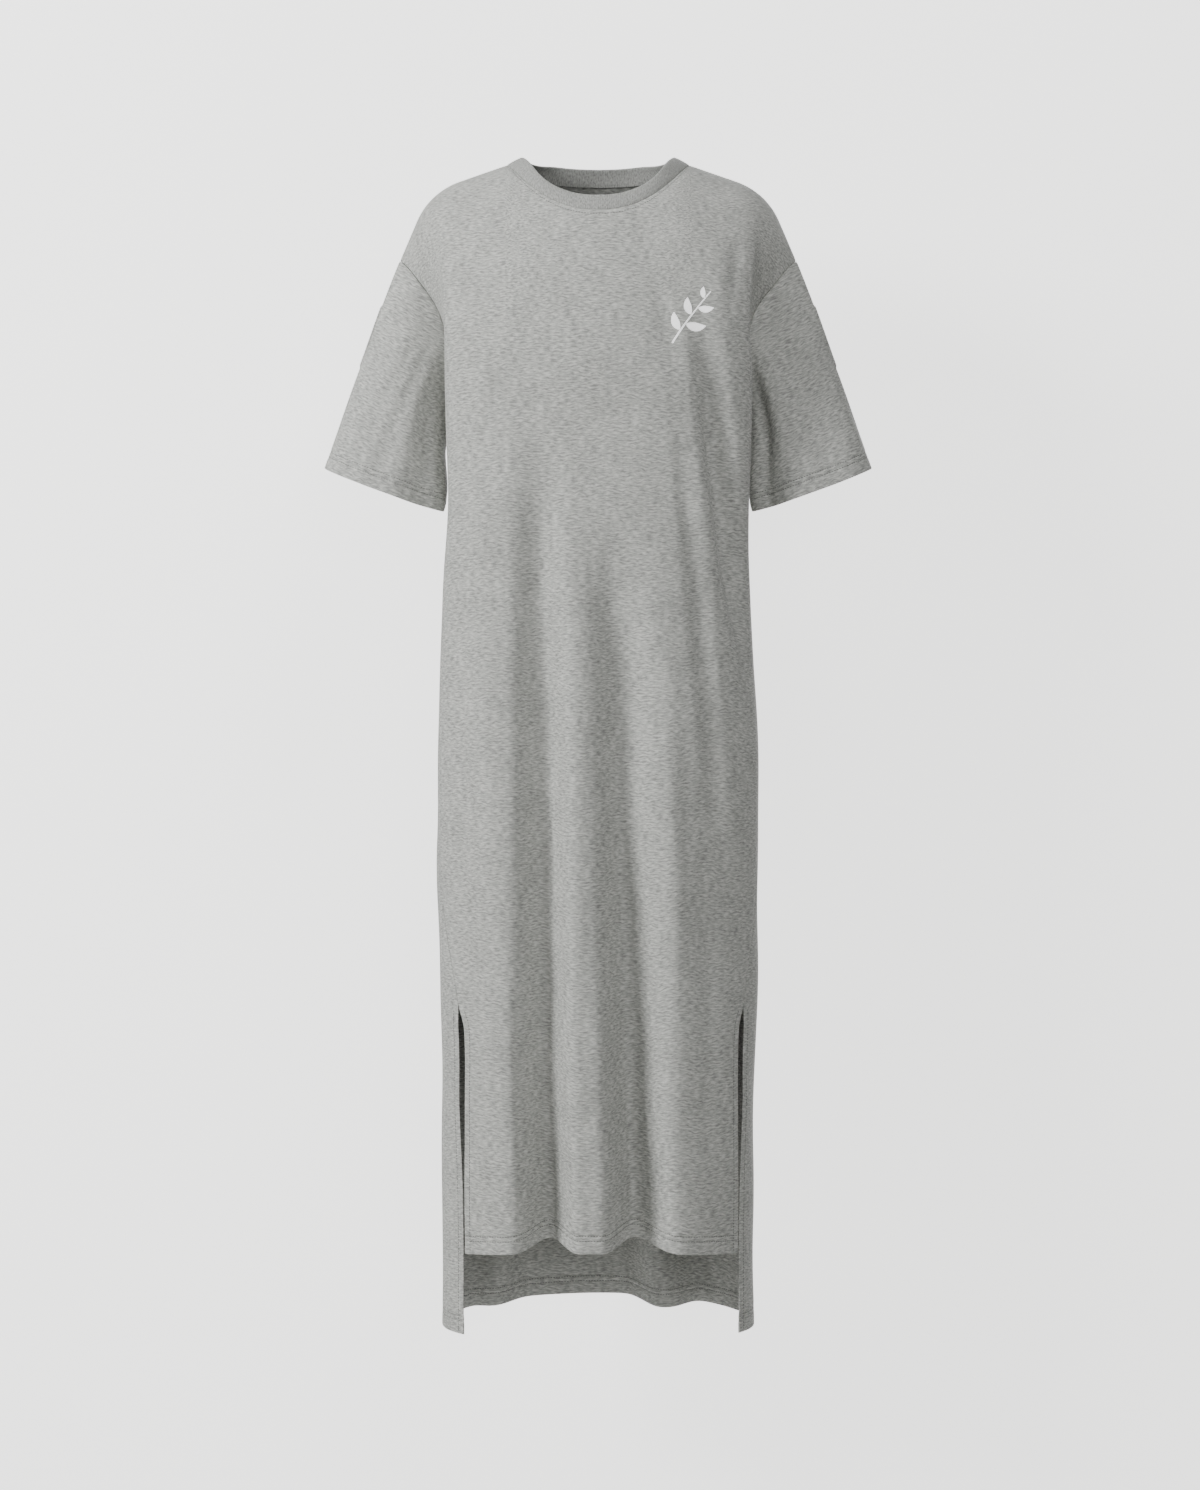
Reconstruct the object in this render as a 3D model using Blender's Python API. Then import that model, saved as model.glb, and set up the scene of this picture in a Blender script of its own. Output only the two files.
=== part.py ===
"""Crew-neck T-shirt midi dress in its worn shape, with side slits and a longer back hem.

Metres, +Z up. The wearer would face -Y, with the left arm at +X.
The origin is midway between the shoulders, level with the shoulder seams beside the neck rib.
"""

import math

import bpy
import numpy as np

# Cloth
JERSEY = 0.0012
HEM_LAYERS = 0.0020
RIB = 0.0024
SEAM_GAP = 0.0004
SLEEVE_GAP = 0.0007
UNDERARM_GAP = 0.0012
HEM_HEIGHT = 0.020
CLOTH_ROUGHNESS = 0.9
GREY_JERSEY = (0.39, 0.39, 0.375)
GREY_RIB = (0.38, 0.38, 0.365)

# Neck seam and rib
NECK_HALF_WIDTH = 0.0980
NECK_POINT_Z = 0.0024
NECK_FRONT_Z = -0.061
NECK_BACK_Z = -0.0085
NECK_FRONT_POWER = 2.3
NECK_BACK_POWER = 3.0
NECK_POINT_SHARE = 0.38
NECK_BUNCHING = 0.75
RIB_HEIGHT = 0.0185
RIB_LEAN_IN = 0.035
RIB_LEAN_POWER = 5.0
RIB_LEAN_SIDE = 0.009
# Heights of the rib's lower rows, as shares of its height.
RIB_LEVELS = (0.0, 0.35, 0.7)
RIB_BOW = 0.0006
NECK_INSIDE = (0.0, 0.0, -0.12)

# Shoulder seam, as a straight run, an arc and a straight run
SHOULDER_SLOPE = math.radians(19)
DROP_SLOPE = math.radians(67)
SHOULDER_STRAIGHT = 0.0520
SHOULDER_RADIUS = 0.0790
SHOULDER_END_X = 0.2115

# Levels
UNDERARM_Z = -0.270
SLIT_TOP_Z = -0.883
FRONT_HEM_Z = -1.137
BACK_HEM_Z = -1.228
FRONT_HEM_SIDE_DROP = 0.008
BACK_HEM_RISE = 0.006

# Slits
SLIT_OPEN_FRONT = 0.0052
SLIT_OPEN_BACK = 0.0040
SLIT_OPENS_BY = 0.026
SLIT_CLOSES = (0.090, 0.210)
SLIT_CLOSED_SHARE = 0.30
LEFT_SEAM_BACK = 0.008
LEFT_SEAM_SPAN = (-0.600, -0.883)

# Sleeve
CUFF_OUTER = (0.2925, 0.005, -0.3190)
CUFF_INNER = (0.1640, 0.005, -0.3660)
CUFF_HALF_DEPTH = 0.046
CUFF_TILT = 0.0060
CUFF_ROUNDNESS = 2.2
UNDERARM_SPREAD = 0.010
OUTER_BOW = 0.004

# Body sections. side_y is where the section is widest, seam_y where the side seam lies.
# Front and back are the depths at the centre, and the two powers say how square the corners are.
SECTION_COLUMNS = ("z", "half_width", "front", "back", "side_y", "seam_y", "front_power", "back_power")
SECTIONS = (
    (-0.270, 0.1600, 0.1130, 0.1080, -0.045, 0.015, 2.5, 2.5),
    (-0.375, 0.1590, 0.1130, 0.1040, -0.045, 0.012, 2.5, 2.5),
    (-0.460, 0.1630, 0.1110, 0.1020, -0.030, 0.010, 2.4, 2.4),
    (-0.567, 0.1680, 0.1110, 0.1060, -0.020, 0.000, 2.3, 2.3),
    (-0.680, 0.1700, 0.1120, 0.1120, -0.010, -0.018, 2.3, 2.3),
    (-0.790, 0.1695, 0.1120, 0.1160, -0.005, -0.044, 2.3, 2.3),
    (-0.887, 0.1680, 0.1110, 0.1160, -0.005, -0.066, 2.3, 2.3),
    (-1.000, 0.1660, 0.1110, 0.1140, -0.005, -0.068, 2.3, 2.3),
    (-1.137, 0.1650, 0.1100, 0.1120, -0.005, -0.069, 2.3, 2.3),
    (-1.232, 0.1650, 0.1100, 0.1120, -0.005, -0.069, 2.3, 2.3),
)

# Column curves above the underarm, as the two handles of a Bezier: from the top, and from the underarm row.
# share is 0 at the centre, NECK_POINT_SHARE at the neck point and 1 at the armhole.
HANDLE_COLUMNS = ("share", "top_x", "top_y", "top_z", "low_x", "low_y", "low_z")
FRONT_HANDLES = (
    (0.00, 0.000, -0.078, -0.008, 0.000, -0.012, 0.150),
    (0.38, 0.000, -0.074, -0.012, 0.000, -0.012, 0.130),
    (0.75, -0.004, -0.070, -0.016, 0.000, -0.010, 0.110),
    (0.90, -0.016, -0.058, -0.020, -0.002, -0.006, 0.090),
    (1.00, -0.030, -0.028, -0.022, 0.002, -0.030, 0.075),
)
BACK_HANDLES = (
    (0.00, 0.000, 0.082, 0.000, 0.000, 0.012, 0.130),
    (0.38, 0.000, 0.080, -0.010, 0.000, 0.014, 0.130),
    (0.75, -0.004, 0.074, -0.014, 0.000, 0.012, 0.110),
    (0.90, -0.014, 0.060, -0.020, 0.000, 0.010, 0.090),
    (1.00, -0.024, 0.032, -0.024, 0.000, 0.034, 0.072),
)

# Long folds. The valley runs from (top_x, top_z) to (low_x, low_z), and it deepens to depth at the hem end.
FOLD_COLUMNS = ("top_x", "top_z", "low_x", "low_z", "depth", "left", "right", "growth")
FRONT_FOLDS = (
    (-0.060, -0.240, -0.050, -1.137, 0.050, 0.046, 0.034, 0.60),
    (0.014, -0.340, 0.038, -1.137, 0.052, 0.038, 0.054, 0.75),
)
BACK_FOLDS = (
    (0.020, -0.520, 0.070, -1.232, 0.062, 0.048, 0.056, 1.20),
    (-0.045, -0.260, -0.112, -1.232, 0.026, 0.036, 0.040, 0.80),
)
# Share of a long fold's length over which it begins.
FOLD_START = 0.25
# Above 1, a long fold's ridges turn over more gently and its valley is narrower.
FOLD_SOFTNESS = 1.5
# Folds that fade at both ends: valley from (top_x, top_z) to (low_x, low_z), deepest in the middle,
# then their depth and their reach to the left and to the right.
FRONT_DRAPES = (
    (0.100, -0.130, 0.162, -0.590, 0.021, 0.022, 0.026),
    (0.076, -0.220, 0.138, -0.840, 0.006, 0.014, 0.018),
    (0.178, -0.040, 0.164, -0.250, 0.010, 0.014, 0.024),
    (-0.178, -0.040, -0.164, -0.250, 0.007, 0.024, 0.014),
)
BACK_DRAPES = (
    (0.070, -0.160, 0.040, -0.640, 0.011, 0.030, 0.030),
    (0.172, -0.050, 0.158, -0.250, 0.006, 0.020, 0.020),
    (-0.172, -0.050, -0.158, -0.250, 0.008, 0.020, 0.020),
)
# Sleeve folds, from the armhole to the cuff: the turn at each end, the depth and the reach.
# Turns and reach are in degrees: 0 is the upper line, 90 the front and 180 the underarm.
LEFT_SLEEVE_FOLDS = (
    (56, 72, 0.0030, 30),
    (118, 138, 0.0060, 34),
    (252, 236, 0.0060, 36),
)
RIGHT_SLEEVE_FOLDS = (
    (106, 130, 0.0080, 34),
    (240, 222, 0.0055, 34),
)
# Share of a sleeve's length over which its folds begin.
SLEEVE_FOLD_START = 0.6
HEM_LIFT = 0.009
HEM_LIFT_REACH = 0.14
HEM_HALF_WIDTH = 0.150
FACING_SPAN = (0.005, 0.060)
BACK_RISE_SPAN = (-0.05, 0.05)

# Mesh counts. Columns are for half a panel.
TOP_ROWS = 13
SEAM_ROWS = 8
# Above 1, it sets the rows closer together at the shoulder.
TOP_ROW_CROWDING = 1.1
SHARP_ANGLE = math.radians(50)
SLIT_ROWS = 4
HEM_ROWS = 3
HEM_STEP = 0.0008
FRONT_NECK_COLUMNS = 15
BACK_NECK_COLUMNS = 10
SHOULDER_COLUMNS = 12
SLEEVE_ROWS = 6
SECTION_SAMPLES = 241
NECK_SAMPLES = 281
NECK_SEARCH = 0.7
HEM_SAMPLES = 801
BODY_AXIS = np.array([0.0, 0.0, -0.5])


def column(table, names, name):
    """One named column of a table, as an array."""
    return np.array([row[names.index(name)] for row in table], float)


def smooth_table(at, stations, values):
    """Values read from a short table along a curve with no corners (Catmull-Rom)."""
    order = np.argsort(stations)
    x, y = stations[order], values[order]
    slopes = np.gradient(y, x)
    at = np.clip(at, x[0], x[-1])
    i = np.clip(np.searchsorted(x, at) - 1, 0, len(x) - 2)
    h = x[i + 1] - x[i]
    t = (at - x[i]) / h
    rise = y[i] * (2 * t**3 - 3 * t**2 + 1) + y[i + 1] * (3 * t**2 - 2 * t**3)
    return rise + h * (slopes[i] * (t**3 - 2 * t**2 + t) + slopes[i + 1] * (t**3 - t**2))


def smooth_step(value, low, high):
    t = np.clip((value - low) / (high - low), 0, 1)
    return t * t * (3 - 2 * t)


def bump(offset, left, right):
    """A soft hump of height 1 that reaches left and right of zero."""
    share = offset / np.where(offset < 0, left, right)
    return np.where(np.abs(share) < 1, 0.5 + 0.5 * np.cos(math.pi * share), 0.0)


def bezier(p0, p1, p2, p3, t):
    return p0 * (1 - t) ** 3 + p1 * 3 * t * (1 - t) ** 2 + p2 * 3 * t**2 * (1 - t) + p3 * t**3


def unit(vectors):
    return vectors / np.maximum(np.linalg.norm(vectors, axis=-1, keepdims=True), 1e-12)


# The body below the underarm

def section_size(name, z):
    z_stations = column(SECTIONS, SECTION_COLUMNS, "z")
    return smooth_table(z, z_stations, column(SECTIONS, SECTION_COLUMNS, name))


def half_section(z):
    """Points of the section at height z from the front centre to the back centre, with their distances."""
    half_width, side_y = section_size("half_width", z), section_size("side_y", z)
    front, back = section_size("front", z), section_size("back", z)
    turn = np.linspace(0.5 * math.pi, -0.5 * math.pi, SECTION_SAMPLES)
    power = np.where(turn > 0, section_size("front_power", z), section_size("back_power", z))
    x = half_width * np.abs(np.cos(turn)) ** (2 / power)
    reach = np.abs(np.sin(turn)) ** (2 / power)
    y = np.where(turn > 0, side_y - (front + side_y) * reach, side_y + (back - side_y) * reach)
    along = np.concatenate([[0], np.cumsum(np.hypot(np.diff(x), np.diff(y)))])
    return x, y, along


def slit_opening(z, widest):
    """How far a slit's edge stands back from the side seam's line."""
    below = np.array(SLIT_TOP_Z - z)
    opened = smooth_step(below, 0, SLIT_OPENS_BY)
    closed = smooth_step(below, *SLIT_CLOSES)
    return widest * float(opened * (1 - (1 - SLIT_CLOSED_SHARE) * closed))


def body_row(z, shares, side):
    """A panel's row at height z. shares run from -1 to 1 across it. side is -1 for front and 1 for back."""
    x, y, along = half_section(z)
    seam_y = section_size("seam_y", z) + LEFT_SEAM_BACK * smooth_step(z, *LEFT_SEAM_SPAN) * (shares > 0)
    seam = np.interp(seam_y, y, along)
    if side < 0:
        reach = np.abs(shares) * (seam - slit_opening(z, SLIT_OPEN_FRONT))
    else:
        reach = along[-1] - np.abs(shares) * (along[-1] - seam - slit_opening(z, SLIT_OPEN_BACK))
    px = np.interp(reach, along, x) * np.sign(shares)
    return np.stack([px, np.interp(reach, along, y), np.full(len(shares), z)], axis=1)


# The top edges and the yoke above the underarm

def shoulder_point(share):
    """A point of the left shoulder seam, from the neck (0) to the armhole (1)."""
    arc = SHOULDER_RADIUS * (DROP_SLOPE - SHOULDER_SLOPE)
    corner_x = NECK_HALF_WIDTH + SHOULDER_STRAIGHT * math.cos(SHOULDER_SLOPE)
    corner_z = -SHOULDER_STRAIGHT * math.sin(SHOULDER_SLOPE)
    arc_end_x = corner_x + SHOULDER_RADIUS * (math.sin(DROP_SLOPE) - math.sin(SHOULDER_SLOPE))
    last = (SHOULDER_END_X - arc_end_x) / math.cos(DROP_SLOPE)
    run = share * (SHOULDER_STRAIGHT + arc + last)
    first = min(run, SHOULDER_STRAIGHT)
    turned = SHOULDER_SLOPE + min(max(run - SHOULDER_STRAIGHT, 0), arc) / SHOULDER_RADIUS
    after = max(run - SHOULDER_STRAIGHT - arc, 0)
    x = NECK_HALF_WIDTH + first * math.cos(SHOULDER_SLOPE) + after * math.cos(DROP_SLOPE)
    x += SHOULDER_RADIUS * (math.sin(turned) - math.sin(SHOULDER_SLOPE))
    z = NECK_POINT_Z + corner_z * first / SHOULDER_STRAIGHT - after * math.sin(DROP_SLOPE)
    z -= SHOULDER_RADIUS * (math.cos(SHOULDER_SLOPE) - math.cos(turned))
    return np.array([x, 0.0, z])


def ridge_point(share):
    """A point of the line over the shoulders: an arch across the neck opening, then the shoulder seam."""
    if share >= NECK_POINT_SHARE:
        return shoulder_point((share - NECK_POINT_SHARE) / (1 - NECK_POINT_SHARE))
    across = share / NECK_POINT_SHARE
    arch = 0.5 * NECK_HALF_WIDTH * math.tan(SHOULDER_SLOPE)
    return np.array([NECK_HALF_WIDTH * across, 0.0, NECK_POINT_Z + arch * (1 - across**2)])


def yoke_points(shares, downs, side):
    """Points of the surface between the line over the shoulders (down 0) and the underarm row (down 1)."""
    reach = np.abs(shares)
    handles = FRONT_HANDLES if side < 0 else BACK_HANDLES
    stations = column(handles, HANDLE_COLUMNS, "share")
    sizes = [column(handles, HANDLE_COLUMNS, name) for name in HANDLE_COLUMNS[1:]]
    handle = np.stack([smooth_table(reach, stations, size) for size in sizes], axis=1)
    top = np.stack([ridge_point(share) for share in reach])
    low = body_row(UNDERARM_Z, np.maximum(reach, 1e-9), side)
    points = bezier(top, top + handle[:, :3], low + handle[:, 3:], low, downs[:, None])
    points[:, 0] *= np.where(shares < 0, -1, 1)
    return points


def neck_cut(share, side):
    """How far down a column the neck seam crosses it."""
    if abs(share) >= NECK_POINT_SHARE - 1e-9:
        return 0.0
    downs = np.linspace(0, NECK_SEARCH, NECK_SAMPLES)
    points = yoke_points(np.full(len(downs), abs(share)), downs, side)
    across = np.minimum(points[:, 0] / NECK_HALF_WIDTH, 1)
    if side < 0:
        seam_z = NECK_POINT_Z + (NECK_FRONT_Z - NECK_POINT_Z) * (1 - across**NECK_FRONT_POWER)
    else:
        seam_z = NECK_POINT_Z + (NECK_BACK_Z - NECK_POINT_Z) * (1 - across**NECK_BACK_POWER)
    return float(np.interp(0, seam_z - points[:, 2], downs))


def yoke_grid(side, low_shares, steps):
    """The panel above the underarm. Columns under the neck bunch towards the neck point at their top."""
    rows = []
    across = np.minimum(np.abs(low_shares) / NECK_POINT_SHARE, 1)
    bunched = across + NECK_BUNCHING * (np.sin(0.5 * math.pi * across) - across)
    top_shares = np.where(across < 1, np.sign(low_shares) * bunched * NECK_POINT_SHARE, low_shares)
    cuts = np.array([neck_cut(share, side) for share in top_shares])
    for step in steps:
        shares = top_shares + (low_shares - top_shares) * step**2
        rows.append(yoke_points(shares, cuts + (1 - cuts) * step, side))
    return np.stack(rows)


# Folds

def long_fold_depth(points, fold):
    """How deep a long fold pushes each point in."""
    top_x, top_z, low_x, low_z, depth, left, right, growth = fold
    down = np.clip((top_z - points[..., 2]) / (top_z - low_z), 0, None)
    hump = bump(points[..., 0] - top_x - (low_x - top_x) * down, left, right) ** FOLD_SOFTNESS
    return depth * down**growth * smooth_step(down, 0, FOLD_START) * hump


def drape_depth(points, fold):
    """How deep a fold that fades at both ends pushes each point in."""
    top_x, top_z, low_x, low_z, depth, left, right = fold
    down = np.clip((top_z - points[..., 2]) / (top_z - low_z), 0, 1)
    line = top_x + (low_x - top_x) * down
    return depth * np.sin(math.pi * down) ** 2 * bump(points[..., 0] - line, left, right)


def folded(points, side):
    """The panel's points pushed in along the folds, with the hem's line shaped."""
    long_folds, drapes = (FRONT_FOLDS, FRONT_DRAPES) if side < 0 else (BACK_FOLDS, BACK_DRAPES)
    deep = sum(long_fold_depth(points, fold) for fold in long_folds)
    soft = sum(drape_depth(points, fold) for fold in drapes)
    moved = points - grid_normals(points, False, BODY_AXIS) * soft[..., None]
    moved[..., 1] -= side * deep * smooth_step(points[..., 1] * side, *FACING_SPAN)
    outward = np.minimum(np.abs(points[..., 0]) / HEM_HALF_WIDTH, 1) ** 2
    hem = FRONT_HEM_Z if side < 0 else BACK_HEM_Z
    near_hem = smooth_step(points[..., 2], hem + HEM_LIFT_REACH, hem)
    if side < 0:
        deepest = max(column(long_folds, FOLD_COLUMNS, "depth"))
        lift = HEM_LIFT * deep / deepest - FRONT_HEM_SIDE_DROP * outward
    else:
        lift = BACK_HEM_RISE * (1 - outward) * smooth_step(points[..., 1], *BACK_RISE_SPAN)
    moved[..., 2] += near_hem * lift
    return moved


def sleeve_folded(grid, turns, folds):
    """A sleeve's points pushed in along its folds."""
    down = np.linspace(0, 1, len(grid))[:, None]
    pushed = 0
    for top_turn, cuff_turn, depth, reach in folds:
        offset = np.degrees(turns) - (top_turn + (cuff_turn - top_turn) * down)
        pushed = pushed + depth * smooth_step(down, 0, SLEEVE_FOLD_START) * bump(offset, reach, reach)
    return grid - grid_normals(grid, True, grid.mean(axis=(0, 1))) * pushed[..., None]


# Whole pieces, as grids of points on the outer face

def top_steps():
    return np.linspace(0, 1, TOP_ROWS) ** TOP_ROW_CROWDING


def skirt_levels(hem):
    """Row heights from the underarm to the hem, with one at the slit's top and one where the hem begins."""
    above = np.linspace(UNDERARM_Z, SLIT_TOP_Z, SEAM_ROWS + 1)[1:]
    below = np.linspace(SLIT_TOP_Z, hem + HEM_HEIGHT, SLIT_ROWS + 1)[1:]
    return np.concatenate([above, below, np.linspace(hem + HEM_HEIGHT - HEM_STEP, hem, HEM_ROWS)])


def panel_shares(side):
    """Where a panel's columns stand, from -1 to 1, with one at each neck point."""
    neck_columns = FRONT_NECK_COLUMNS if side < 0 else BACK_NECK_COLUMNS
    under_neck = np.linspace(0, NECK_POINT_SHARE, neck_columns)
    half = np.concatenate([under_neck, np.linspace(NECK_POINT_SHARE, 1, SHOULDER_COLUMNS)[1:]])
    return np.concatenate([-half[:0:-1], half])


def evened_shares(shares, side, hem):
    """Columns moved sideways so that they stand evenly along the folded hem."""
    fine = np.linspace(-1, 1, HEM_SAMPLES)
    row = folded(np.stack([body_row(hem + HEM_STEP, fine, side), body_row(hem, fine, side)]), side)[1]
    along = np.concatenate([[0], np.cumsum(np.linalg.norm(np.diff(row, axis=0), axis=1))])
    return np.interp(np.linspace(0, along[-1], len(shares)), along, fine)


def panel_grid(side, hem):
    shares = panel_shares(side)
    yoke = yoke_grid(side, shares, top_steps())
    at_hem = evened_shares(shares, side, hem)
    levels = skirt_levels(hem)
    blends = smooth_step(levels, UNDERARM_Z, hem)
    spread = at_hem - shares
    skirt = np.stack([body_row(z, shares + spread * blend, side) for z, blend in zip(levels, blends)])
    return folded(np.concatenate([yoke, skirt]), side)


def sleeve_grid(front_edge, back_edge, folds):
    """A left sleeve from the armhole to the cuff. The edges run from the shoulder to the underarm."""
    loop = np.concatenate([front_edge, back_edge[-2:0:-1]])
    along = np.concatenate([[0], np.cumsum(np.linalg.norm(np.diff(loop, axis=0, append=loop[:1]), axis=1))])
    half = len(front_edge) - 1
    front_share = along[: half + 1] / along[half]
    back_share = (along[half:-1] - along[half]) / (along[-1] - along[half])
    turn = math.pi * np.concatenate([front_share, 1 + back_share[1:]])
    outer, inner = np.array(CUFF_OUTER), np.array(CUFF_INNER)
    centre, half_width = (outer + inner) / 2, (outer - inner) / 2
    wide = np.sign(np.cos(turn)) * np.abs(np.cos(turn)) ** (2 / CUFF_ROUNDNESS)
    deep = np.sign(np.sin(turn)) * np.abs(np.sin(turn)) ** (2 / CUFF_ROUNDNESS)
    forward = np.array([0, -CUFF_HALF_DEPTH, -CUFF_TILT])
    cuff = centre + wide[:, None] * half_width + deep[:, None] * forward
    arm = unit(np.array([half_width[2], 0, -half_width[0]]))
    run = np.linalg.norm(cuff - loop, axis=1)[:, None]
    hem_share = 1 - HEM_HEIGHT / np.mean(run)
    below_hem = hem_share + 2 * HEM_STEP / np.mean(run)
    shares = np.concatenate([np.linspace(0, hem_share, SLEEVE_ROWS), [below_hem, 1]])
    under = (1 - np.cos(turn))[:, None] / 2
    handle = loop + arm * run / 3 + np.array([1, 0, 0]) * (UNDERARM_SPREAD * under + OUTER_BOW * (1 - under))
    grid = np.stack([bezier(loop, handle, cuff - arm * run / 3, cuff, share) for share in shares])
    return sleeve_folded(grid, turn, folds)


# Walls

def grid_normals(points, closed, inside):
    """Unit normals of a grid, turned so that they point away from a place inside it."""
    down = np.gradient(points, axis=0)
    if closed:
        across = (np.roll(points, -1, axis=1) - np.roll(points, 1, axis=1)) / 2
    else:
        across = np.gradient(points, axis=1)
    normals = unit(np.cross(down, across))
    return normals if np.sum((points - inside) * normals) > 0 else -normals


def set_back(points, towards, normals, distance):
    """Edge points moved towards the cloth beside them, square to the normals."""
    into = unit(towards - points)
    return points + unit(into - np.sum(into * normals, axis=1, keepdims=True) * normals) * distance


def quads(a, b, c, d):
    """Faces from four equal arrays of corner numbers."""
    return list(zip(a.ravel().tolist(), b.ravel().tolist(), c.ravel().tolist(), d.ravel().tolist()))


def wall_object(name, outer, inner, closed, material):
    """One closed body from a grid's outer and inner points. A closed grid is a tube."""
    rows, columns = outer.shape[:2]
    near = np.arange(rows * columns).reshape(rows, columns)
    if closed:
        near = np.concatenate([near, near[:, :1]], axis=1)
    far = near + rows * columns
    faces = quads(near[:-1, :-1], near[1:, :-1], near[1:, 1:], near[:-1, 1:])
    faces += quads(far[:-1, :-1], far[:-1, 1:], far[1:, 1:], far[1:, :-1])
    faces += quads(near[0, :-1], near[0, 1:], far[0, 1:], far[0, :-1])
    faces += quads(near[-1, 1:], near[-1, :-1], far[-1, :-1], far[-1, 1:])
    if not closed:
        faces += quads(near[1:, 0], near[:-1, 0], far[:-1, 0], far[1:, 0])
        faces += quads(near[:-1, -1], near[1:, -1], far[1:, -1], far[:-1, -1])
    return mesh_object(name, np.concatenate([outer.reshape(-1, 3), inner.reshape(-1, 3)]), faces, material)


def mesh_object(name, points, faces, material):
    mesh = bpy.data.meshes.new(name)
    mesh.from_pydata(points.tolist(), [], faces)
    if signed_volume(mesh) < 0:
        mesh.flip_normals()
    mesh.shade_smooth()
    mesh.set_sharp_from_angle(angle=SHARP_ANGLE)
    mesh.materials.append(material)
    piece = bpy.data.objects.new(name, mesh)
    bpy.context.scene.collection.objects.link(piece)
    return piece


def signed_volume(mesh):
    mesh.calc_loop_triangles()
    corners = np.array([[mesh.vertices[v].co[:] for v in t.vertices] for t in mesh.loop_triangles])
    return float(np.sum(corners[:, 0] * np.cross(corners[:, 1], corners[:, 2])))


def wall_thickness(rows, hem_rows):
    """Thickness for each row: jersey, and two layers in the turned-up hem."""
    thickness = np.full(rows, JERSEY)
    thickness[rows - hem_rows:] = HEM_LAYERS
    return thickness[:, None, None]


def panel_object(name, grid, normals, seam_rows, material):
    """A front or back wall. Its seam edges stand back by half the seam gap, and its slit edges are free."""
    points = grid.copy()
    half_gap = SEAM_GAP / 2
    points[0] = set_back(grid[0], grid[1], normals[0], half_gap)
    for edge, beside in ((0, 1), (-1, -2)):
        seam = slice(0, seam_rows)
        points[seam, edge] = set_back(points[seam, edge], points[seam, beside], normals[seam, edge], half_gap)
    inner = points - normals * wall_thickness(len(points), HEM_ROWS)
    return wall_object(name, points, inner, False, material)


def sleeve_object(name, grid, normals, material):
    points = grid.copy()
    down = (grid[0, :, 2].max() - grid[0, :, 2:]) / np.ptp(grid[0, :, 2])
    gap = SLEEVE_GAP + (UNDERARM_GAP - SLEEVE_GAP) * smooth_step(down, 0.5, 1.0)
    points[0] = set_back(grid[0], grid[1], normals[0], gap - SEAM_GAP / 2)
    inner = points - normals * wall_thickness(len(points), 2)
    return wall_object(name, points, inner, True, material)


def rib_object(name, seam, seam_normals, material):
    """The neck rib: a band folded over its top edge, standing up from the neck seam."""
    away = unit(seam[:, :2] / np.array([NECK_HALF_WIDTH, -seam[:, 1].min()]))
    height = np.full(len(seam), RIB_HEIGHT)
    lean_in = np.sign(away[:, 0]) * np.abs(away[:, 0]) ** RIB_LEAN_POWER * RIB_LEAN_IN
    lean = np.stack([-lean_in, -away[:, 1] * RIB_LEAN_SIDE, height], axis=1)
    rise = unit(lean)
    normals = unit(seam_normals - np.sum(seam_normals * rise, axis=1, keepdims=True) * rise)
    base = seam + rise * SEAM_GAP / 2
    half = RIB / 2
    profile = [(up, 0.0) for up in (*RIB_LEVELS, 1 - half / RIB_HEIGHT)]
    turns = (math.pi / 4, math.pi / 2)
    rounding = [(1 - half / RIB_HEIGHT * (1 - math.sin(turn)), half * (1 - math.cos(turn))) for turn in turns]
    outer = profile + rounding
    inner = [(up, RIB - deep) for up, deep in outer[-2::-1]]
    rows = []
    for up, deep in outer + inner:
        bow = 4 * up * (1 - up) * RIB_BOW
        blend = smooth_step(np.array(up), 0, RIB_LEVELS[1])
        outward = unit(seam_normals * (1 - blend) + normals * blend)
        rows.append(base + rise * RIB_HEIGHT * up + outward * (bow - deep))
    return torus_object(name, np.stack(rows), material)


def torus_object(name, rings, material):
    """One closed body from rings of points, joined ring to ring and the last ring to the first."""
    rows, columns = rings.shape[:2]
    index = np.arange(rows * columns).reshape(rows, columns)
    below, right = np.roll(index, -1, axis=0), np.roll(index, -1, axis=1)
    corner = np.roll(below, -1, axis=1)
    return mesh_object(name, rings.reshape(-1, 3), quads(index, below, corner, right), material)


# Assembly

def shared(first, second):
    """The mean of two pieces' normals along the seam that they share."""
    return unit(first + second)


def cloth(name, shade, roughness):
    material = bpy.data.materials.new(name)
    material.use_nodes = True
    shader = material.node_tree.nodes["Principled BSDF"]
    shader.inputs["Base Color"].default_value = (*shade, 1)
    shader.inputs["Roughness"].default_value = roughness
    shader.inputs["Metallic"].default_value = 0.0
    return material


def mirrored(points):
    return points * np.array([-1, 1, 1])


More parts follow.
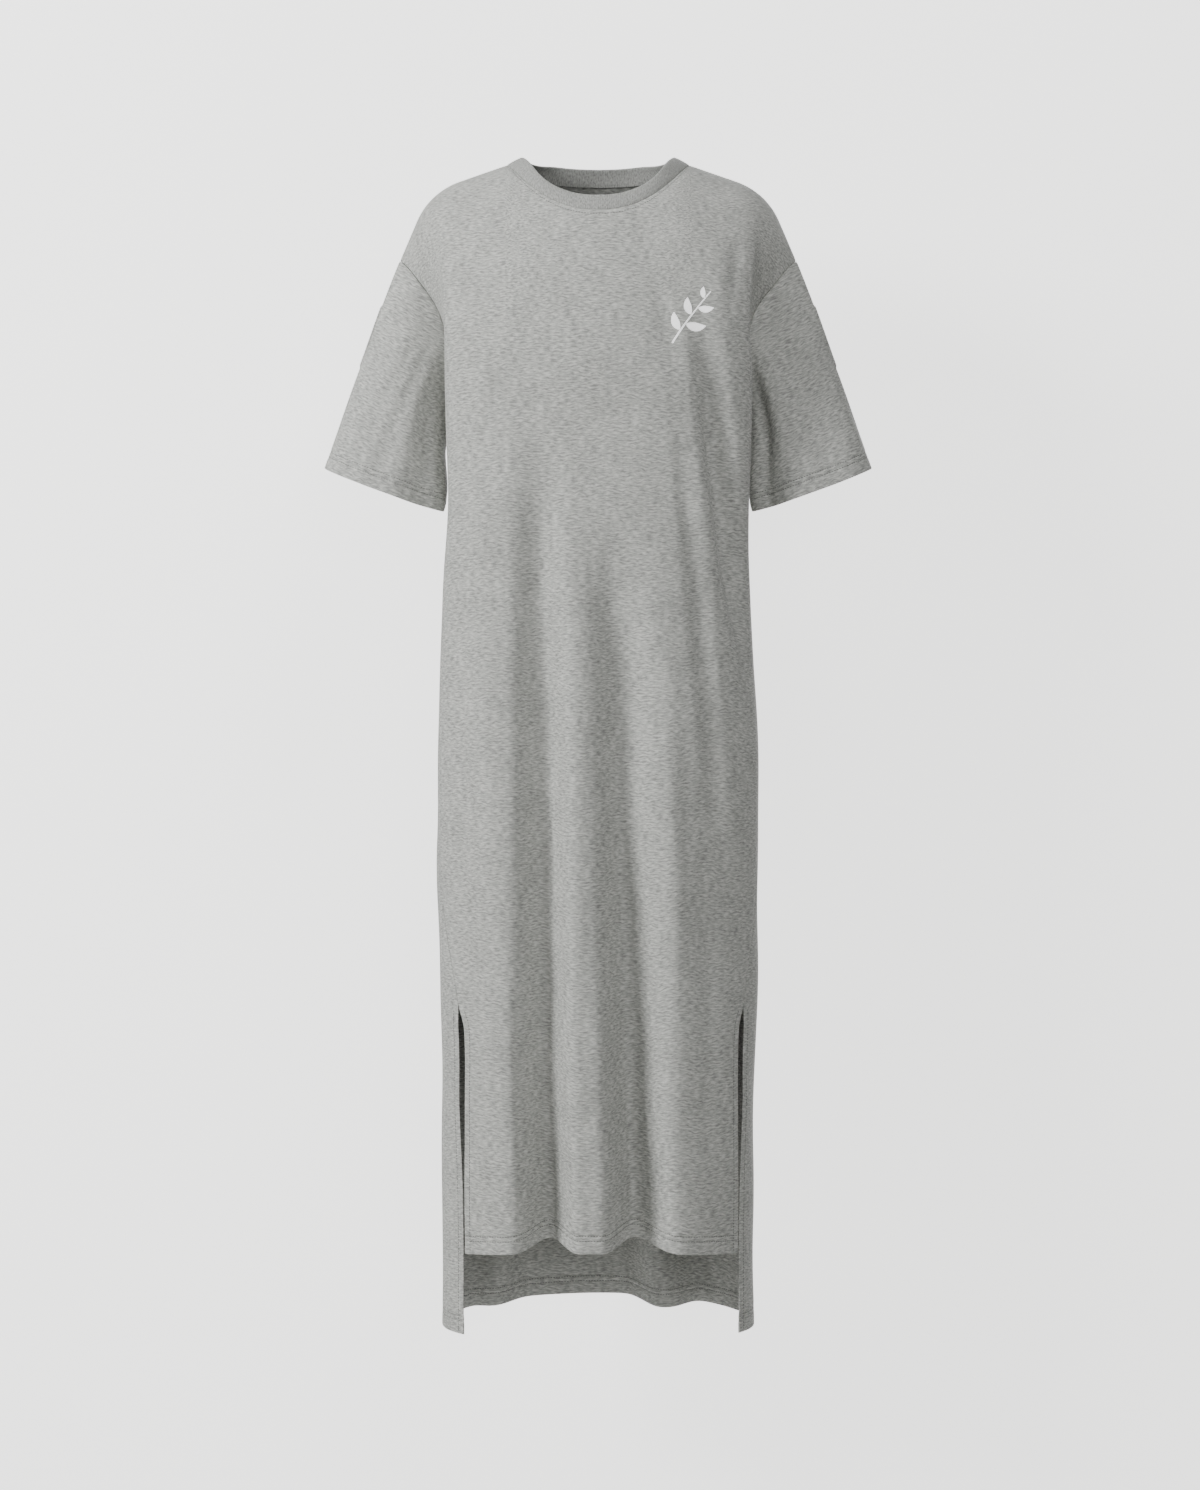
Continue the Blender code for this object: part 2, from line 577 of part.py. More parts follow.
def build_sleeve(name, edge, folds, front, front_normals, back, back_normals, material):
    """Sets a sleeve into one armhole, and gives it and the panels shared normals along that seam."""
    front_edge, back_edge = front[:TOP_ROWS, edge], back[:TOP_ROWS, edge]
    if edge == 0:
        grid = mirrored(sleeve_grid(mirrored(front_edge), mirrored(back_edge), folds))
    else:
        grid = sleeve_grid(front_edge, back_edge, folds)
    normals = grid_normals(grid, True, grid.mean(axis=(0, 1)))
    ring = normals[0].copy()
    at_front = shared(ring[:TOP_ROWS], front_normals[:TOP_ROWS, edge])
    at_back = shared(np.concatenate([ring[:1], ring[:TOP_ROWS - 2:-1]]), back_normals[:TOP_ROWS, edge])
    at_top = unit(front_normals[0, edge] + back_normals[0, edge] + 2 * ring[0])
    at_underarm = unit(front_normals[TOP_ROWS - 1, edge] + ring[TOP_ROWS - 1])
    for seam_normals in (at_front, at_back):
        seam_normals[0], seam_normals[-1] = at_top, at_underarm
    front_normals[:TOP_ROWS, edge], back_normals[:TOP_ROWS, edge] = at_front, at_back
    normals[0] = np.concatenate([at_front, at_back[-2:0:-1]])
    sleeve_object(name, grid, normals, material)


def build():
    for old in list(bpy.data.objects):
        bpy.data.objects.remove(old)
    front = panel_grid(-1, FRONT_HEM_Z)
    back = panel_grid(1, BACK_HEM_Z)
    front_normals = grid_normals(front, False, BODY_AXIS)
    back_normals = grid_normals(back, False, BODY_AXIS)

    side_seam = slice(TOP_ROWS - 1, TOP_ROWS + SEAM_ROWS)
    for edge in (0, -1):
        side_normals = shared(front_normals[side_seam, edge], back_normals[side_seam, edge])
        front_normals[side_seam, edge] = side_normals
        back_normals[side_seam, edge] = side_normals

    panels = (front, front_normals, back, back_normals)
    left_cloth = cloth("Left_sleeve_jersey", GREY_JERSEY, CLOTH_ROUGHNESS)
    right_cloth = cloth("Right_sleeve_jersey", GREY_JERSEY, CLOTH_ROUGHNESS)
    build_sleeve("sleeve_left", -1, LEFT_SLEEVE_FOLDS, *panels, left_cloth)
    build_sleeve("sleeve_right", 0, RIGHT_SLEEVE_FOLDS, *panels, right_cloth)

    seam = neck_seam(front, back)
    rib_object("neck_rib", seam, neck_normals(seam), cloth("Rib_knit", GREY_RIB, 0.92))
    share_top_normals(*panels, neck_normals(seam))
    seam_rows = TOP_ROWS + SEAM_ROWS
    front_cloth = cloth("Front_jersey", GREY_JERSEY, CLOTH_ROUGHNESS)
    back_cloth = cloth("Back_jersey", GREY_JERSEY, CLOTH_ROUGHNESS)
    panel_object("front_panel", front, front_normals, seam_rows, front_cloth)
    panel_object("back_panel", back, back_normals, seam_rows, back_cloth)


def neck_seam(front, back):
    """The neck seam as a ring: along the front from the right shoulder to the left, then along the back."""
    front_half, back_half = FRONT_NECK_COLUMNS - 1, BACK_NECK_COLUMNS - 1
    front_middle, back_middle = front.shape[1] // 2, back.shape[1] // 2
    front_part = front[0, front_middle - front_half: front_middle + front_half + 1]
    back_part = back[0, back_middle - back_half + 1: back_middle + back_half]
    return np.concatenate([front_part, back_part[::-1]])


def neck_normals(seam):
    """Outward and upward directions along the neck seam, square to it."""
    along = unit(np.roll(seam, -1, axis=0) - np.roll(seam, 1, axis=0))
    away = unit(seam - np.array(NECK_INSIDE))
    return unit(away - np.sum(away * along, axis=1, keepdims=True) * along)


def share_top_normals(front, front_normals, back, back_normals, ring):
    """Gives both panels one normal along the shoulder seams, and the rib's direction along the neck seam."""
    front_half, back_half = FRONT_NECK_COLUMNS - 1, BACK_NECK_COLUMNS - 1
    at_front = ring[: 2 * front_half + 1]
    at_back = np.concatenate([ring[:1], ring[: 2 * front_half: -1], ring[2 * front_half: 2 * front_half + 1]])
    panels = ((front, front_normals, front_half, at_front), (back, back_normals, back_half, at_back))
    for grid, normals, half, at_neck in panels:
        middle = grid.shape[1] // 2
        along = unit(np.gradient(grid[0], axis=0))
        level = np.zeros(len(along))
        up = np.stack([-along[:, 2] * np.sign(along[:, 0]), level, np.abs(along[:, 0])], axis=1)
        shoulder = np.abs(np.arange(grid.shape[1]) - middle) > half
        shoulder[[0, -1]] = False
        normals[0][shoulder] = unit(up[shoulder])
        normals[0, middle - half: middle + half + 1] = at_neck


build()
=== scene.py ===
import math

import bpy
import numpy as np
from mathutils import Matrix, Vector
from mathutils.bvhtree import BVHTree


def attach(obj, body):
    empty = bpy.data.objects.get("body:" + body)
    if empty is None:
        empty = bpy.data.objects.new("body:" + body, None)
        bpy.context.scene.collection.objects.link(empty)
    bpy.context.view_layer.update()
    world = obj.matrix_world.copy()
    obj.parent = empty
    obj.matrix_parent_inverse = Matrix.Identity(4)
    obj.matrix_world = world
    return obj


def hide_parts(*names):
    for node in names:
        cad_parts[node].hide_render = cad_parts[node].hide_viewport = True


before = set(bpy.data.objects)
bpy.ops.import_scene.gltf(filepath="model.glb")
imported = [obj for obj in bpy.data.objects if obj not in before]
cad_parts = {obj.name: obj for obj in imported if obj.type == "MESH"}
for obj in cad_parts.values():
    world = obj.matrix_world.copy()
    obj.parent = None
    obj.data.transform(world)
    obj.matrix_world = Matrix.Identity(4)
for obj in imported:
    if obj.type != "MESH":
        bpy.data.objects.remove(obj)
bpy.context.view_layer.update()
print("frame loaded:", sorted(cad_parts))

# In metres, unless a comment says mm. The wearer faces -Y and the left arm is at +X.


# Camera, level with the middle of the dress

cameraSetup = {
    "place": (0.002, -2.8, -0.615),
    "frameHeight": 1.588,  # what the picture's long side shows at the shoulder seams
    "sensor": 36.0,
    "clipEnd": 50,
}


def addObject(name, data):
    made = bpy.data.objects.new(name, data)
    bpy.context.scene.collection.objects.link(made)
    return made


def makeCamera(setup):
    data = bpy.data.cameras.new("camera")
    data.sensor_width = setup["sensor"]
    data.lens = setup["sensor"] * -setup["place"][1] / setup["frameHeight"]
    data.clip_end = setup["clipEnd"]
    camera = addObject("camera", data)
    camera.location = setup["place"]
    camera.rotation_euler = (math.radians(90), 0, 0)
    bpy.context.scene.camera = camera


makeCamera(cameraSetup)
print("camera set")


# Small tools for curves and tables

def smoothTable(at, stations, values):
    order = np.argsort(stations)
    x, y = stations[order], values[order]
    slopes = np.gradient(y, x)
    at = np.clip(at, x[0], x[-1])
    i = np.clip(np.searchsorted(x, at) - 1, 0, len(x) - 2)
    h = x[i + 1] - x[i]
    t = (at - x[i]) / h
    rise = y[i] * (2 * t**3 - 3 * t**2 + 1) + y[i + 1] * (3 * t**2 - 2 * t**3)
    return rise + h * (slopes[i] * (t**3 - 2 * t**2 + t) + slopes[i + 1] * (t**3 - t**2))


def smoothStep(value, low, high):
    t = np.clip((value - low) / (high - low), 0, 1)
    return t * t * (3 - 2 * t)


def bump(offset, left, right):
    share = offset / np.where(offset < 0, left, right)
    return np.where(np.abs(share) < 1, 0.5 + 0.5 * np.cos(math.pi * share), 0.0)


def bezier(p0, p1, p2, p3, t):
    return p0 * (1 - t) ** 3 + p1 * 3 * t * (1 - t) ** 2 + p2 * 3 * t**2 * (1 - t) + p3 * t**3


def unit(vectors):
    return vectors / np.maximum(np.linalg.norm(vectors, axis=-1, keepdims=True), 1e-12)


def signedPower(value, power):
    return np.sign(value) * np.abs(value) ** power


def runLength(points, axis=0):
    steps = np.linalg.norm(np.diff(points, axis=axis), axis=-1)
    start = np.zeros_like(np.take(steps, [0], axis=axis))
    return np.concatenate([start, np.cumsum(steps, axis=axis)], axis=axis)


# The body's form below the underarm, as level sections

bodyForm = {
    "underarmZ": -0.270,
    "slitTopZ": -0.883,
    "frontHemZ": -1.137,
    "backHemZ": -1.228,
    "hemHeight": 0.020,
    "slitOpenFront": 0.0052,
    "slitOpenBack": 0.0040,
    "slitOpensBy": 0.026,
    "slitCloses": (0.090, 0.210),
    "slitClosedShare": 0.30,
    "leftSeamBack": 0.008,
    "leftSeamSpan": (-0.600, -0.883),
    "halfPoints": 961,  # on each half of a level section
}

sectionNames = ("z", "halfWidth", "front", "back", "sideY", "seamY", "frontPower", "backPower")
sections = dict(zip(sectionNames, np.transpose((
    (-0.270, 0.1600, 0.1130, 0.1080, -0.045, 0.015, 2.5, 2.5),
    (-0.375, 0.1590, 0.1130, 0.1040, -0.045, 0.012, 2.5, 2.5),
    (-0.460, 0.1630, 0.1110, 0.1020, -0.030, 0.010, 2.4, 2.4),
    (-0.567, 0.1680, 0.1110, 0.1060, -0.020, 0.000, 2.3, 2.3),
    (-0.680, 0.1700, 0.1120, 0.1120, -0.010, -0.018, 2.3, 2.3),
    (-0.790, 0.1695, 0.1120, 0.1160, -0.005, -0.044, 2.3, 2.3),
    (-0.887, 0.1680, 0.1110, 0.1160, -0.005, -0.066, 2.3, 2.3),
    (-1.000, 0.1660, 0.1110, 0.1140, -0.005, -0.068, 2.3, 2.3),
    (-1.137, 0.1650, 0.1100, 0.1120, -0.005, -0.069, 2.3, 2.3),
    (-1.232, 0.1650, 0.1100, 0.1120, -0.005, -0.069, 2.3, 2.3),
))))


def sectionSize(name, z):
    return smoothTable(z, sections["z"], sections[name])


def halfSection(z):
    halfWidth, sideY = sectionSize("halfWidth", z), sectionSize("sideY", z)
    front, back = sectionSize("front", z), sectionSize("back", z)
    turn = np.linspace(0.5 * math.pi, -0.5 * math.pi, bodyForm["halfPoints"])
    power = np.where(turn > 0, sectionSize("frontPower", z), sectionSize("backPower", z))
    x = halfWidth * np.abs(np.cos(turn)) ** (2 / power)
    reach = np.abs(np.sin(turn)) ** (2 / power)
    y = np.where(turn > 0, sideY - (front + sideY) * reach, sideY + (back - sideY) * reach)
    return x, y, runLength(np.stack([x, y], axis=1))


def slitOpening(z, widest):
    below = np.array(bodyForm["slitTopZ"] - z)
    opened = smoothStep(below, 0, bodyForm["slitOpensBy"])
    closed = smoothStep(below, *bodyForm["slitCloses"])
    return widest * float(opened * (1 - (1 - bodyForm["slitClosedShare"]) * closed))


# side is -1 for the front panel and 1 for the back, and shares run from -1 to 1 across a panel
def bodyRow(z, shares, side):
    x, y, along = halfSection(z)
    seamY = sectionSize("seamY", z)
    seamY = seamY + bodyForm["leftSeamBack"] * smoothStep(z, *bodyForm["leftSeamSpan"]) * (shares > 0)
    seam = np.interp(seamY, y, along)
    if side < 0:
        reach = np.abs(shares) * (seam - slitOpening(z, bodyForm["slitOpenFront"]))
    else:
        reach = along[-1] - np.abs(shares) * (along[-1] - seam - slitOpening(z, bodyForm["slitOpenBack"]))
    px = np.interp(reach, along, x) * np.sign(shares)
    return np.stack([px, np.interp(reach, along, y), np.full(len(shares), z)], axis=1)


# Neck, shoulders and the yoke above the underarm

yokeForm = {
    "neckHalfWidth": 0.0980,
    "neckPointZ": 0.0024,
    "neckFrontZ": -0.061,
    "neckBackZ": -0.0085,
    "neckFrontPower": 2.3,
    "neckBackPower": 3.0,
    "neckPointShare": 0.38,
    "neckSearch": (0, 0.7, 281),  # shares of the way down among which the neckline is found
    "neckBunching": 0.75,
    "shoulderSlope": math.radians(19),
    "dropSlope": math.radians(67),
    "shoulderStraight": 0.0520,
    "shoulderRadius": 0.0790,
    "shoulderEndX": 0.2115,
}

# share across the yoke, then x, y and z in mm of the top handle and of the low handle
frontHandles = (
    (0.00, 0, -78, -8, 0, -12, 150),
    (0.38, 0, -74, -12, 0, -12, 130),
    (0.75, -4, -70, -16, 0, -10, 110),
    (0.90, -16, -58, -20, -2, -6, 90),
    (1.00, -30, -28, -22, 2, -30, 75),
)
backHandles = (
    (0.00, 0, 82, 0, 0, 12, 130),
    (0.38, 0, 80, -10, 0, 14, 130),
    (0.75, -4, 74, -14, 0, 12, 110),
    (0.90, -14, 60, -20, 0, 10, 90),
    (1.00, -24, 32, -24, 0, 34, 72),
)


def shoulderPoint(share):
    form = yokeForm
    slope, drop, radius = form["shoulderSlope"], form["dropSlope"], form["shoulderRadius"]
    straight, neckX = form["shoulderStraight"], form["neckHalfWidth"]
    arc = radius * (drop - slope)
    arcEndX = neckX + straight * math.cos(slope) + radius * (math.sin(drop) - math.sin(slope))
    run = share * (straight + arc + (form["shoulderEndX"] - arcEndX) / math.cos(drop))
    first = min(run, straight)
    turned = slope + min(max(run - straight, 0), arc) / radius
    after = max(run - straight - arc, 0)
    x = neckX + first * math.cos(slope) + after * math.cos(drop)
    z = form["neckPointZ"] - first * math.sin(slope) - after * math.sin(drop)
    x += radius * (math.sin(turned) - math.sin(slope))
    z -= radius * (math.cos(slope) - math.cos(turned))
    return np.array([x, 0.0, z])


def ridgePoint(share):
    neckShare, halfWidth = yokeForm["neckPointShare"], yokeForm["neckHalfWidth"]
    if share >= neckShare:
        return shoulderPoint((share - neckShare) / (1 - neckShare))
    across = share / neckShare
    arch = 0.5 * halfWidth * math.tan(yokeForm["shoulderSlope"])
    return np.array([halfWidth * across, 0.0, yokeForm["neckPointZ"] + arch * (1 - across**2)])


def yokePoints(shares, downs, side):
    reach = np.abs(shares)
    stations, *sizes = np.transpose(frontHandles if side < 0 else backHandles)
    handle = np.stack([smoothTable(reach, stations, size / 1000) for size in sizes], axis=1)
    top = np.stack([ridgePoint(share) for share in reach])
    low = bodyRow(bodyForm["underarmZ"], np.maximum(reach, 1e-9), side)
    points = bezier(top, top + handle[:, :3], low + handle[:, 3:], low, downs[:, None])
    points[:, 0] *= np.where(shares < 0, -1, 1)
    return points


def neckCut(share, side):
    if abs(share) >= yokeForm["neckPointShare"] - 1e-9:
        return 0.0
    downs = np.linspace(*yokeForm["neckSearch"])
    points = yokePoints(np.full(len(downs), abs(share)), downs, side)
    across = np.minimum(points[:, 0] / yokeForm["neckHalfWidth"], 1)
    low, power = ("neckFrontZ", "neckFrontPower") if side < 0 else ("neckBackZ", "neckBackPower")
    pointZ = yokeForm["neckPointZ"]
    seamZ = pointZ + (yokeForm[low] - pointZ) * (1 - across ** yokeForm[power])
    return float(np.interp(0, seamZ - points[:, 2], downs))


def yokeGrid(side, lowShares, steps):
    neckShare = yokeForm["neckPointShare"]
    across = np.minimum(np.abs(lowShares) / neckShare, 1)
    bunched = across + yokeForm["neckBunching"] * (np.sin(0.5 * math.pi * across) - across)
    topShares = np.where(across < 1, np.sign(lowShares) * bunched * neckShare, lowShares)
    cuts = np.array([neckCut(share, side) for share in topShares])
    rows = []
    for step in steps:
        rows.append(yokePoints(topShares + (lowShares - topShares) * step**2, cuts + (1 - cuts) * step, side))
    return np.stack(rows)


# Folds of the body, in mm: topX, topZ, lowX, lowZ, depth and its reach to the left and right
# Long folds deepen all the way down, by the growth that comes last.
# Drapes and creases fade at both ends, and a negative depth is a ridge.

frontFolds = (
    (-60, -240, -50, -1137, 50, 46, 34, 0.60),
    (14, -340, 38, -1137, 52, 38, 54, 0.75),
)
backFolds = (
    (20, -520, 70, -1232, 62, 48, 56, 1.20),
    (-45, -260, -112, -1232, 26, 36, 40, 0.80),
)
frontDrapes = (
    (100, -130, 162, -590, 21, 22, 26),
    (76, -220, 138, -840, 6, 14, 18),
    (178, -40, 164, -250, 10, 14, 24),
    (-178, -40, -164, -250, 7, 24, 14),
)
backDrapes = (
    (70, -160, 40, -640, 11, 30, 30),
    (172, -50, 158, -250, 6, 20, 20),
    (-172, -50, -158, -250, 8, 20, 20),
)
# small creases that only the finished cloth shows
frontCreases = (
    (-113, -195, -132, -350, -3, 9, 12),
    (-128, -205, -112, -330, 2.2, 9, 9),
    (-100, -215, -118, -300, 1.4, 7, 8),
    (148, -70, 131, -190, 3, 8, 12),
    (133, -400, 160, -560, 3.6, 6, 9),
    (120, -300, 152, -500, -2.6, 8, 10),
    (-122, -260, -104, -1080, -3.6, 24, 20),
    (-146, -420, -138, -980, 2.6, 12, 14),
    (108, -560, 118, -1110, 3, 16, 20),
    (-24, -300, -20, -1000, -3, 16, 18),
    (70, -420, 88, -1080, -3, 14, 18),
    (-40, -80, -85, -230, 1.2, 14, 16),
    (50, -85, 82, -240, 1.4, 14, 14),
    (-88, -700, -80, -1137, 2, 10, 12),
)
backCreases = (
    (100, -200, 132, -420, 3, 10, 12),
    (-110, -180, -138, -440, 3.4, 10, 14),
    (-20, -60, -50, -300, 1.8, 16, 20),
    (30, -70, 20, -260, 1.4, 14, 16),
    (-70, -500, -50, -1100, -3.2, 20, 24),
    (120, -480, 132, -1150, 3, 14, 18),
    (10, -700, 0, -1180, 2.6, 16, 16),
    (-140, -600, -146, -1150, 2.6, 10, 12),
)
# slow unevenness of hanging jersey: waves per metre across and down, and height in metres
unevenness = (
    (7.0, 2.6, 0.0009, 0.4),
    (10.0, 4.1, 0.0005, 2.1),
    (-9.0, 5.7, 0.0004, 4.0),
    (17.0, 7.9, 0.0002, 1.2),
)
hemShape = {
    "lift": 0.009,
    "liftReach": 0.14,
    "halfWidth": 0.150,
    "frontSideDrop": 0.008,
    "foldStart": 0.25,
    "foldSoftness": 1.5,
    "backRise": 0.006,
    "facingSpan": (0.005, 0.060),
    "backRiseSpan": (-0.05, 0.05),
}


def longFoldDepth(points, fold):
    topX, topZ, lowX, lowZ, depth, left, right = (size / 1000 for size in fold[:7])
    down = np.clip((topZ - points[..., 2]) / (topZ - lowZ), 0, None)
    hump = bump(points[..., 0] - topX - (lowX - topX) * down, left, right) ** hemShape["foldSoftness"]
    return depth * down ** fold[7] * smoothStep(down, 0, hemShape["foldStart"]) * hump


def drapeDepth(points, fold):
    topX, topZ, lowX, lowZ, depth, left, right = (size / 1000 for size in fold)
    down = np.clip((topZ - points[..., 2]) / (topZ - lowZ), 0, 1)
    line = topX + (lowX - topX) * down
    return depth * np.sin(math.pi * down) ** 2 * bump(points[..., 0] - line, left, right)


def waves(across, down):
    return sum(high * np.sin(math.tau * (perAcross * across + perDown * down) + phase)
               for perAcross, perDown, high, phase in unevenness)


def gridNormals(points, closed, inside):
    down = np.gradient(points, axis=0)
    if closed:
        across = (np.roll(points, -1, axis=1) - np.roll(points, 1, axis=1)) / 2
    else:
        across = np.gradient(points, axis=1)
    normals = unit(np.cross(down, across))
    return normals if np.sum((points - inside) * normals) > 0 else -normals


bodyAxis = np.array([0.0, 0.0, -0.5])


def folded(points, side):
    longFolds, drapes = (frontFolds, frontDrapes) if side < 0 else (backFolds, backDrapes)
    deep = sum(longFoldDepth(points, fold) for fold in longFolds)
    soft = sum(drapeDepth(points, fold) for fold in drapes)
    moved = points - gridNormals(points, False, bodyAxis) * soft[..., None]
    moved[..., 1] -= side * deep * smoothStep(points[..., 1] * side, *hemShape["facingSpan"])
    outward = np.minimum(np.abs(points[..., 0]) / hemShape["halfWidth"], 1) ** 2
    hem = bodyForm["frontHemZ"] if side < 0 else bodyForm["backHemZ"]
    nearHem = smoothStep(points[..., 2], hem + hemShape["liftReach"], hem)
    if side < 0:
        deepest = max(fold[4] for fold in longFolds) / 1000
        lift = hemShape["lift"] * deep / deepest - hemShape["frontSideDrop"] * outward
    else:
        lift = hemShape["backRise"] * (1 - outward) * smoothStep(points[..., 1], *hemShape["backRiseSpan"])
    moved[..., 2] += nearHem * lift
    return moved


creaseFade = {
    "across": 0.10,
    "down": 0.12,
    "shift": 0.3,  # metres by which each panel's unevenness is moved, so that the two differ
}


# small creases and unevenness, which fade out at the seams so that the pieces still meet
def creased(points, before, side, shares, rowFade):
    creases = frontCreases if side < 0 else backCreases
    soft = sum(drapeDepth(before, crease) for crease in creases)
    soft = soft + waves(before[..., 0], before[..., 2] + creaseFade["shift"] * side)
    inner = smoothStep(1 - np.abs(shares), 0, creaseFade["across"])[None, :] * rowFade[:, None]
    return points - gridNormals(points, False, bodyAxis) * (soft * inner)[..., None]


# Rows and columns of the fine cloth

clothWall = {
    "jersey": 0.0012,
    "hemLayers": 0.0020,
    "hemStep": 0.0008,
    "seamGap": 0.0004,
    "sleeveGap": 0.0007,
    "underarmGap": 0.0012,
    "edgeRadius": 0.0005,
    "seamDip": 0.0005,
    "seamReach": 0.0022,
    "stitchDip": 0.00055,
    "stitchReach": 0.0015,
    "innerDipShare": 0.5,  # how much of a dip at the top seams the inner face shares
    "innerDipSpan": 0.010,
}
hemStitchLines = (0.0135, 0.0186)  # heights of the twin-needle rows above the hem's edge

gridMake = {
    "nearSeam": (0.0018, 0.0040, 0.0075, 0.0130),
    "yokeRows": 58,
    "yokeCrowding": 1.1,
    "skirtRows": 72,
    "lowRowHeight": 0.009,
    "aboveHem": 0.040,
    "nearEdge": (0.0105, 0.0066, 0.0038, 0.0016, 0.0006),
    "edgeSamples": 1601,
}
topSteps = np.unique(np.concatenate([
    gridMake["nearSeam"], np.linspace(0, 1, gridMake["yokeRows"]) ** gridMake["yokeCrowding"]]))
# distances above a hem's edge, close together where it is rounded and where it is stitched
hemHeights = np.array([
    0.0330, 0.0280, 0.0240, 0.0214, 0.0206, 0.0200, 0.0193, 0.0186, 0.0179, 0.0170, 0.0155, 0.0143,
    0.0135, 0.0127, 0.0118, 0.0100, 0.0075, 0.0050, 0.0025, 0.0010, 0.00045, 0.00015, 0.0])


def skirtLevels(hem):
    top, slitTop = bodyForm["underarmZ"], bodyForm["slitTopZ"]
    above = np.linspace(top, slitTop, gridMake["skirtRows"])[1:]
    lowRows = int((slitTop - hem) / gridMake["lowRowHeight"])
    below = np.linspace(slitTop, hem + gridMake["aboveHem"], lowRows)[1:]
    return np.concatenate([above, below, hem + hemHeights])


def panelShares(neckColumns, shoulderColumns):
    neckShare = yokeForm["neckPointShare"]
    nearEdge = 1 - np.array(gridMake["nearEdge"])
    shoulder = np.linspace(neckShare, 1, shoulderColumns)[1:-1]
    half = np.concatenate([np.linspace(0, neckShare, neckColumns), shoulder, nearEdge, [1.0]])
    half = np.unique(np.round(half, 6))
    return np.concatenate([-half[:0:-1], half])


# the shares that space the columns evenly along the folded hem
def evenedShares(shares, side, hem):
    fine = np.linspace(-1, 1, gridMake["edgeSamples"])
    rows = np.stack([bodyRow(z, fine, side) for z in (hem + clothWall["hemStep"], hem)])
    along = runLength(folded(rows, side)[1])
    return np.interp((shares + 1) / 2 * along[-1], along, fine)


def panelGrid(side, levels, shares):
    hem = levels[-1]
    spread = evenedShares(shares, side, hem) - shares
    blends = smoothStep(levels, bodyForm["underarmZ"], hem)
    skirt = np.stack([bodyRow(z, shares + spread * blend, side) for z, blend in zip(levels, blends)])
    smooth = np.concatenate([yokeGrid(side, shares, topSteps), skirt])
    rowFade = np.concatenate([smoothStep(topSteps, 0, creaseFade["down"]), np.ones(len(levels))])
    return creased(folded(smooth, side), smooth, side, shares, rowFade)


def setBack(points, towards, normals, distance):
    into = unit(towards - points)
    return points + unit(into - np.sum(into * normals, axis=1, keepdims=True) * normals) * distance


# Meshes from grids, with each piece's cloth laid out flat in its UV map, in metres

def flatLayout(points, closed, levelRow):
    middle = points.shape[1] // 2
    if closed:
        points = np.concatenate([points, points[:, :1]], axis=1)
    across, down = runLength(points, axis=1), runLength(points)
    return across - across[:, [middle]], down - down[levelRow]


def quads(a, b, c, d):
    return np.stack([a.ravel(), b.ravel(), c.ravel(), d.ravel()], axis=1)


def gridFaces(index):
    return quads(index[:-1, :-1], index[1:, :-1], index[1:, 1:], index[:-1, 1:])


turnedOver = [0, 3, 2, 1]  # a face's corners, for its other side


def meshPiece(name, points, faces, material, uvs=None, smooth=True):
    mesh = bpy.data.meshes.new(name)
    mesh.from_pydata(points, [], faces)
    if uvs is not None:
        mesh.uv_layers.new(name="cloth").uv.foreach_set("vector", uvs.reshape(-1).astype(np.float32))
    if smooth:
        mesh.shade_smooth()
    mesh.materials.append(material)
    return addObject(name, mesh)


def signedVolume(points, faces):
    a, b, c, d = (points[faces[:, k]] for k in range(4))
    return float(np.sum(a * np.cross(b, c)) + np.sum(a * np.cross(c, d)))


def closedPiece(name, points, faces, uvs, material):
    if signedVolume(points, faces) < 0:
        faces, uvs = faces[:, ::-1], uvs[:, ::-1]
    return meshPiece(name, points.tolist(), faces.tolist(), material, uvs)


# levelRow is the row that lies level when the cloth is flat, so that the courses run along it
def wallPiece(name, outer, inner, closed, material, levelRow):
    rows, columns = outer.shape[:2]
    near = np.arange(rows * columns).reshape(rows, columns)
    if closed:
        near = np.concatenate([near, near[:, :1]], axis=1)
    far = near + rows * columns
    cell = np.arange(near.size).reshape(near.shape)
    faces = [gridFaces(near), gridFaces(far)[:, turnedOver]]
    cells = [gridFaces(cell), gridFaces(cell)[:, turnedOver]]
    rims = [(np.s_[0, :-1], np.s_[0, 1:]), (np.s_[-1, 1:], np.s_[-1, :-1])]
    if not closed:
        rims += [(np.s_[1:, 0], np.s_[:-1, 0]), (np.s_[:-1, -1], np.s_[1:, -1])]
    for a, b in rims:
        faces.append(quads(near[a], near[b], far[b], far[a]))
        cells.append(quads(cell[a], cell[b], cell[b], cell[a]))
    faces, cells = np.concatenate(faces), np.concatenate(cells)
    across, down = flatLayout(outer, closed, levelRow)
    uvs = np.stack([across.ravel()[cells], -down.ravel()[cells]], axis=-1)
    points = np.concatenate([outer.reshape(-1, 3), inner.reshape(-1, 3)])
    return closedPiece(name, points, faces, uvs, material)


# how far the outer face sinks, and the inner face rises, where an edge is rounded
def edgePinch(distance):
    radius = clothWall["edgeRadius"]
    inside = np.clip(1 - distance / radius, 0, 1)
    return radius * (1 - np.sqrt(1 - inside**2))


# how far the cloth sinks beside a seam or a line of stitches
def dip(distance, kind):
    return clothWall[kind + "Dip"] * np.exp(-((distance / clothWall[kind + "Reach"]) ** 2))


def hemGrooves(toHem):
    return sum(dip(toHem - line, "stitch") for line in hemStitchLines)


def hemThickness(toHem):
    jersey, height, step = clothWall["jersey"], bodyForm["hemHeight"], clothWall["hemStep"]
    doubled = smoothStep(toHem, height + step / 2, height - step / 2)
    return jersey + (clothWall["hemLayers"] - jersey) * doubled


# Panels

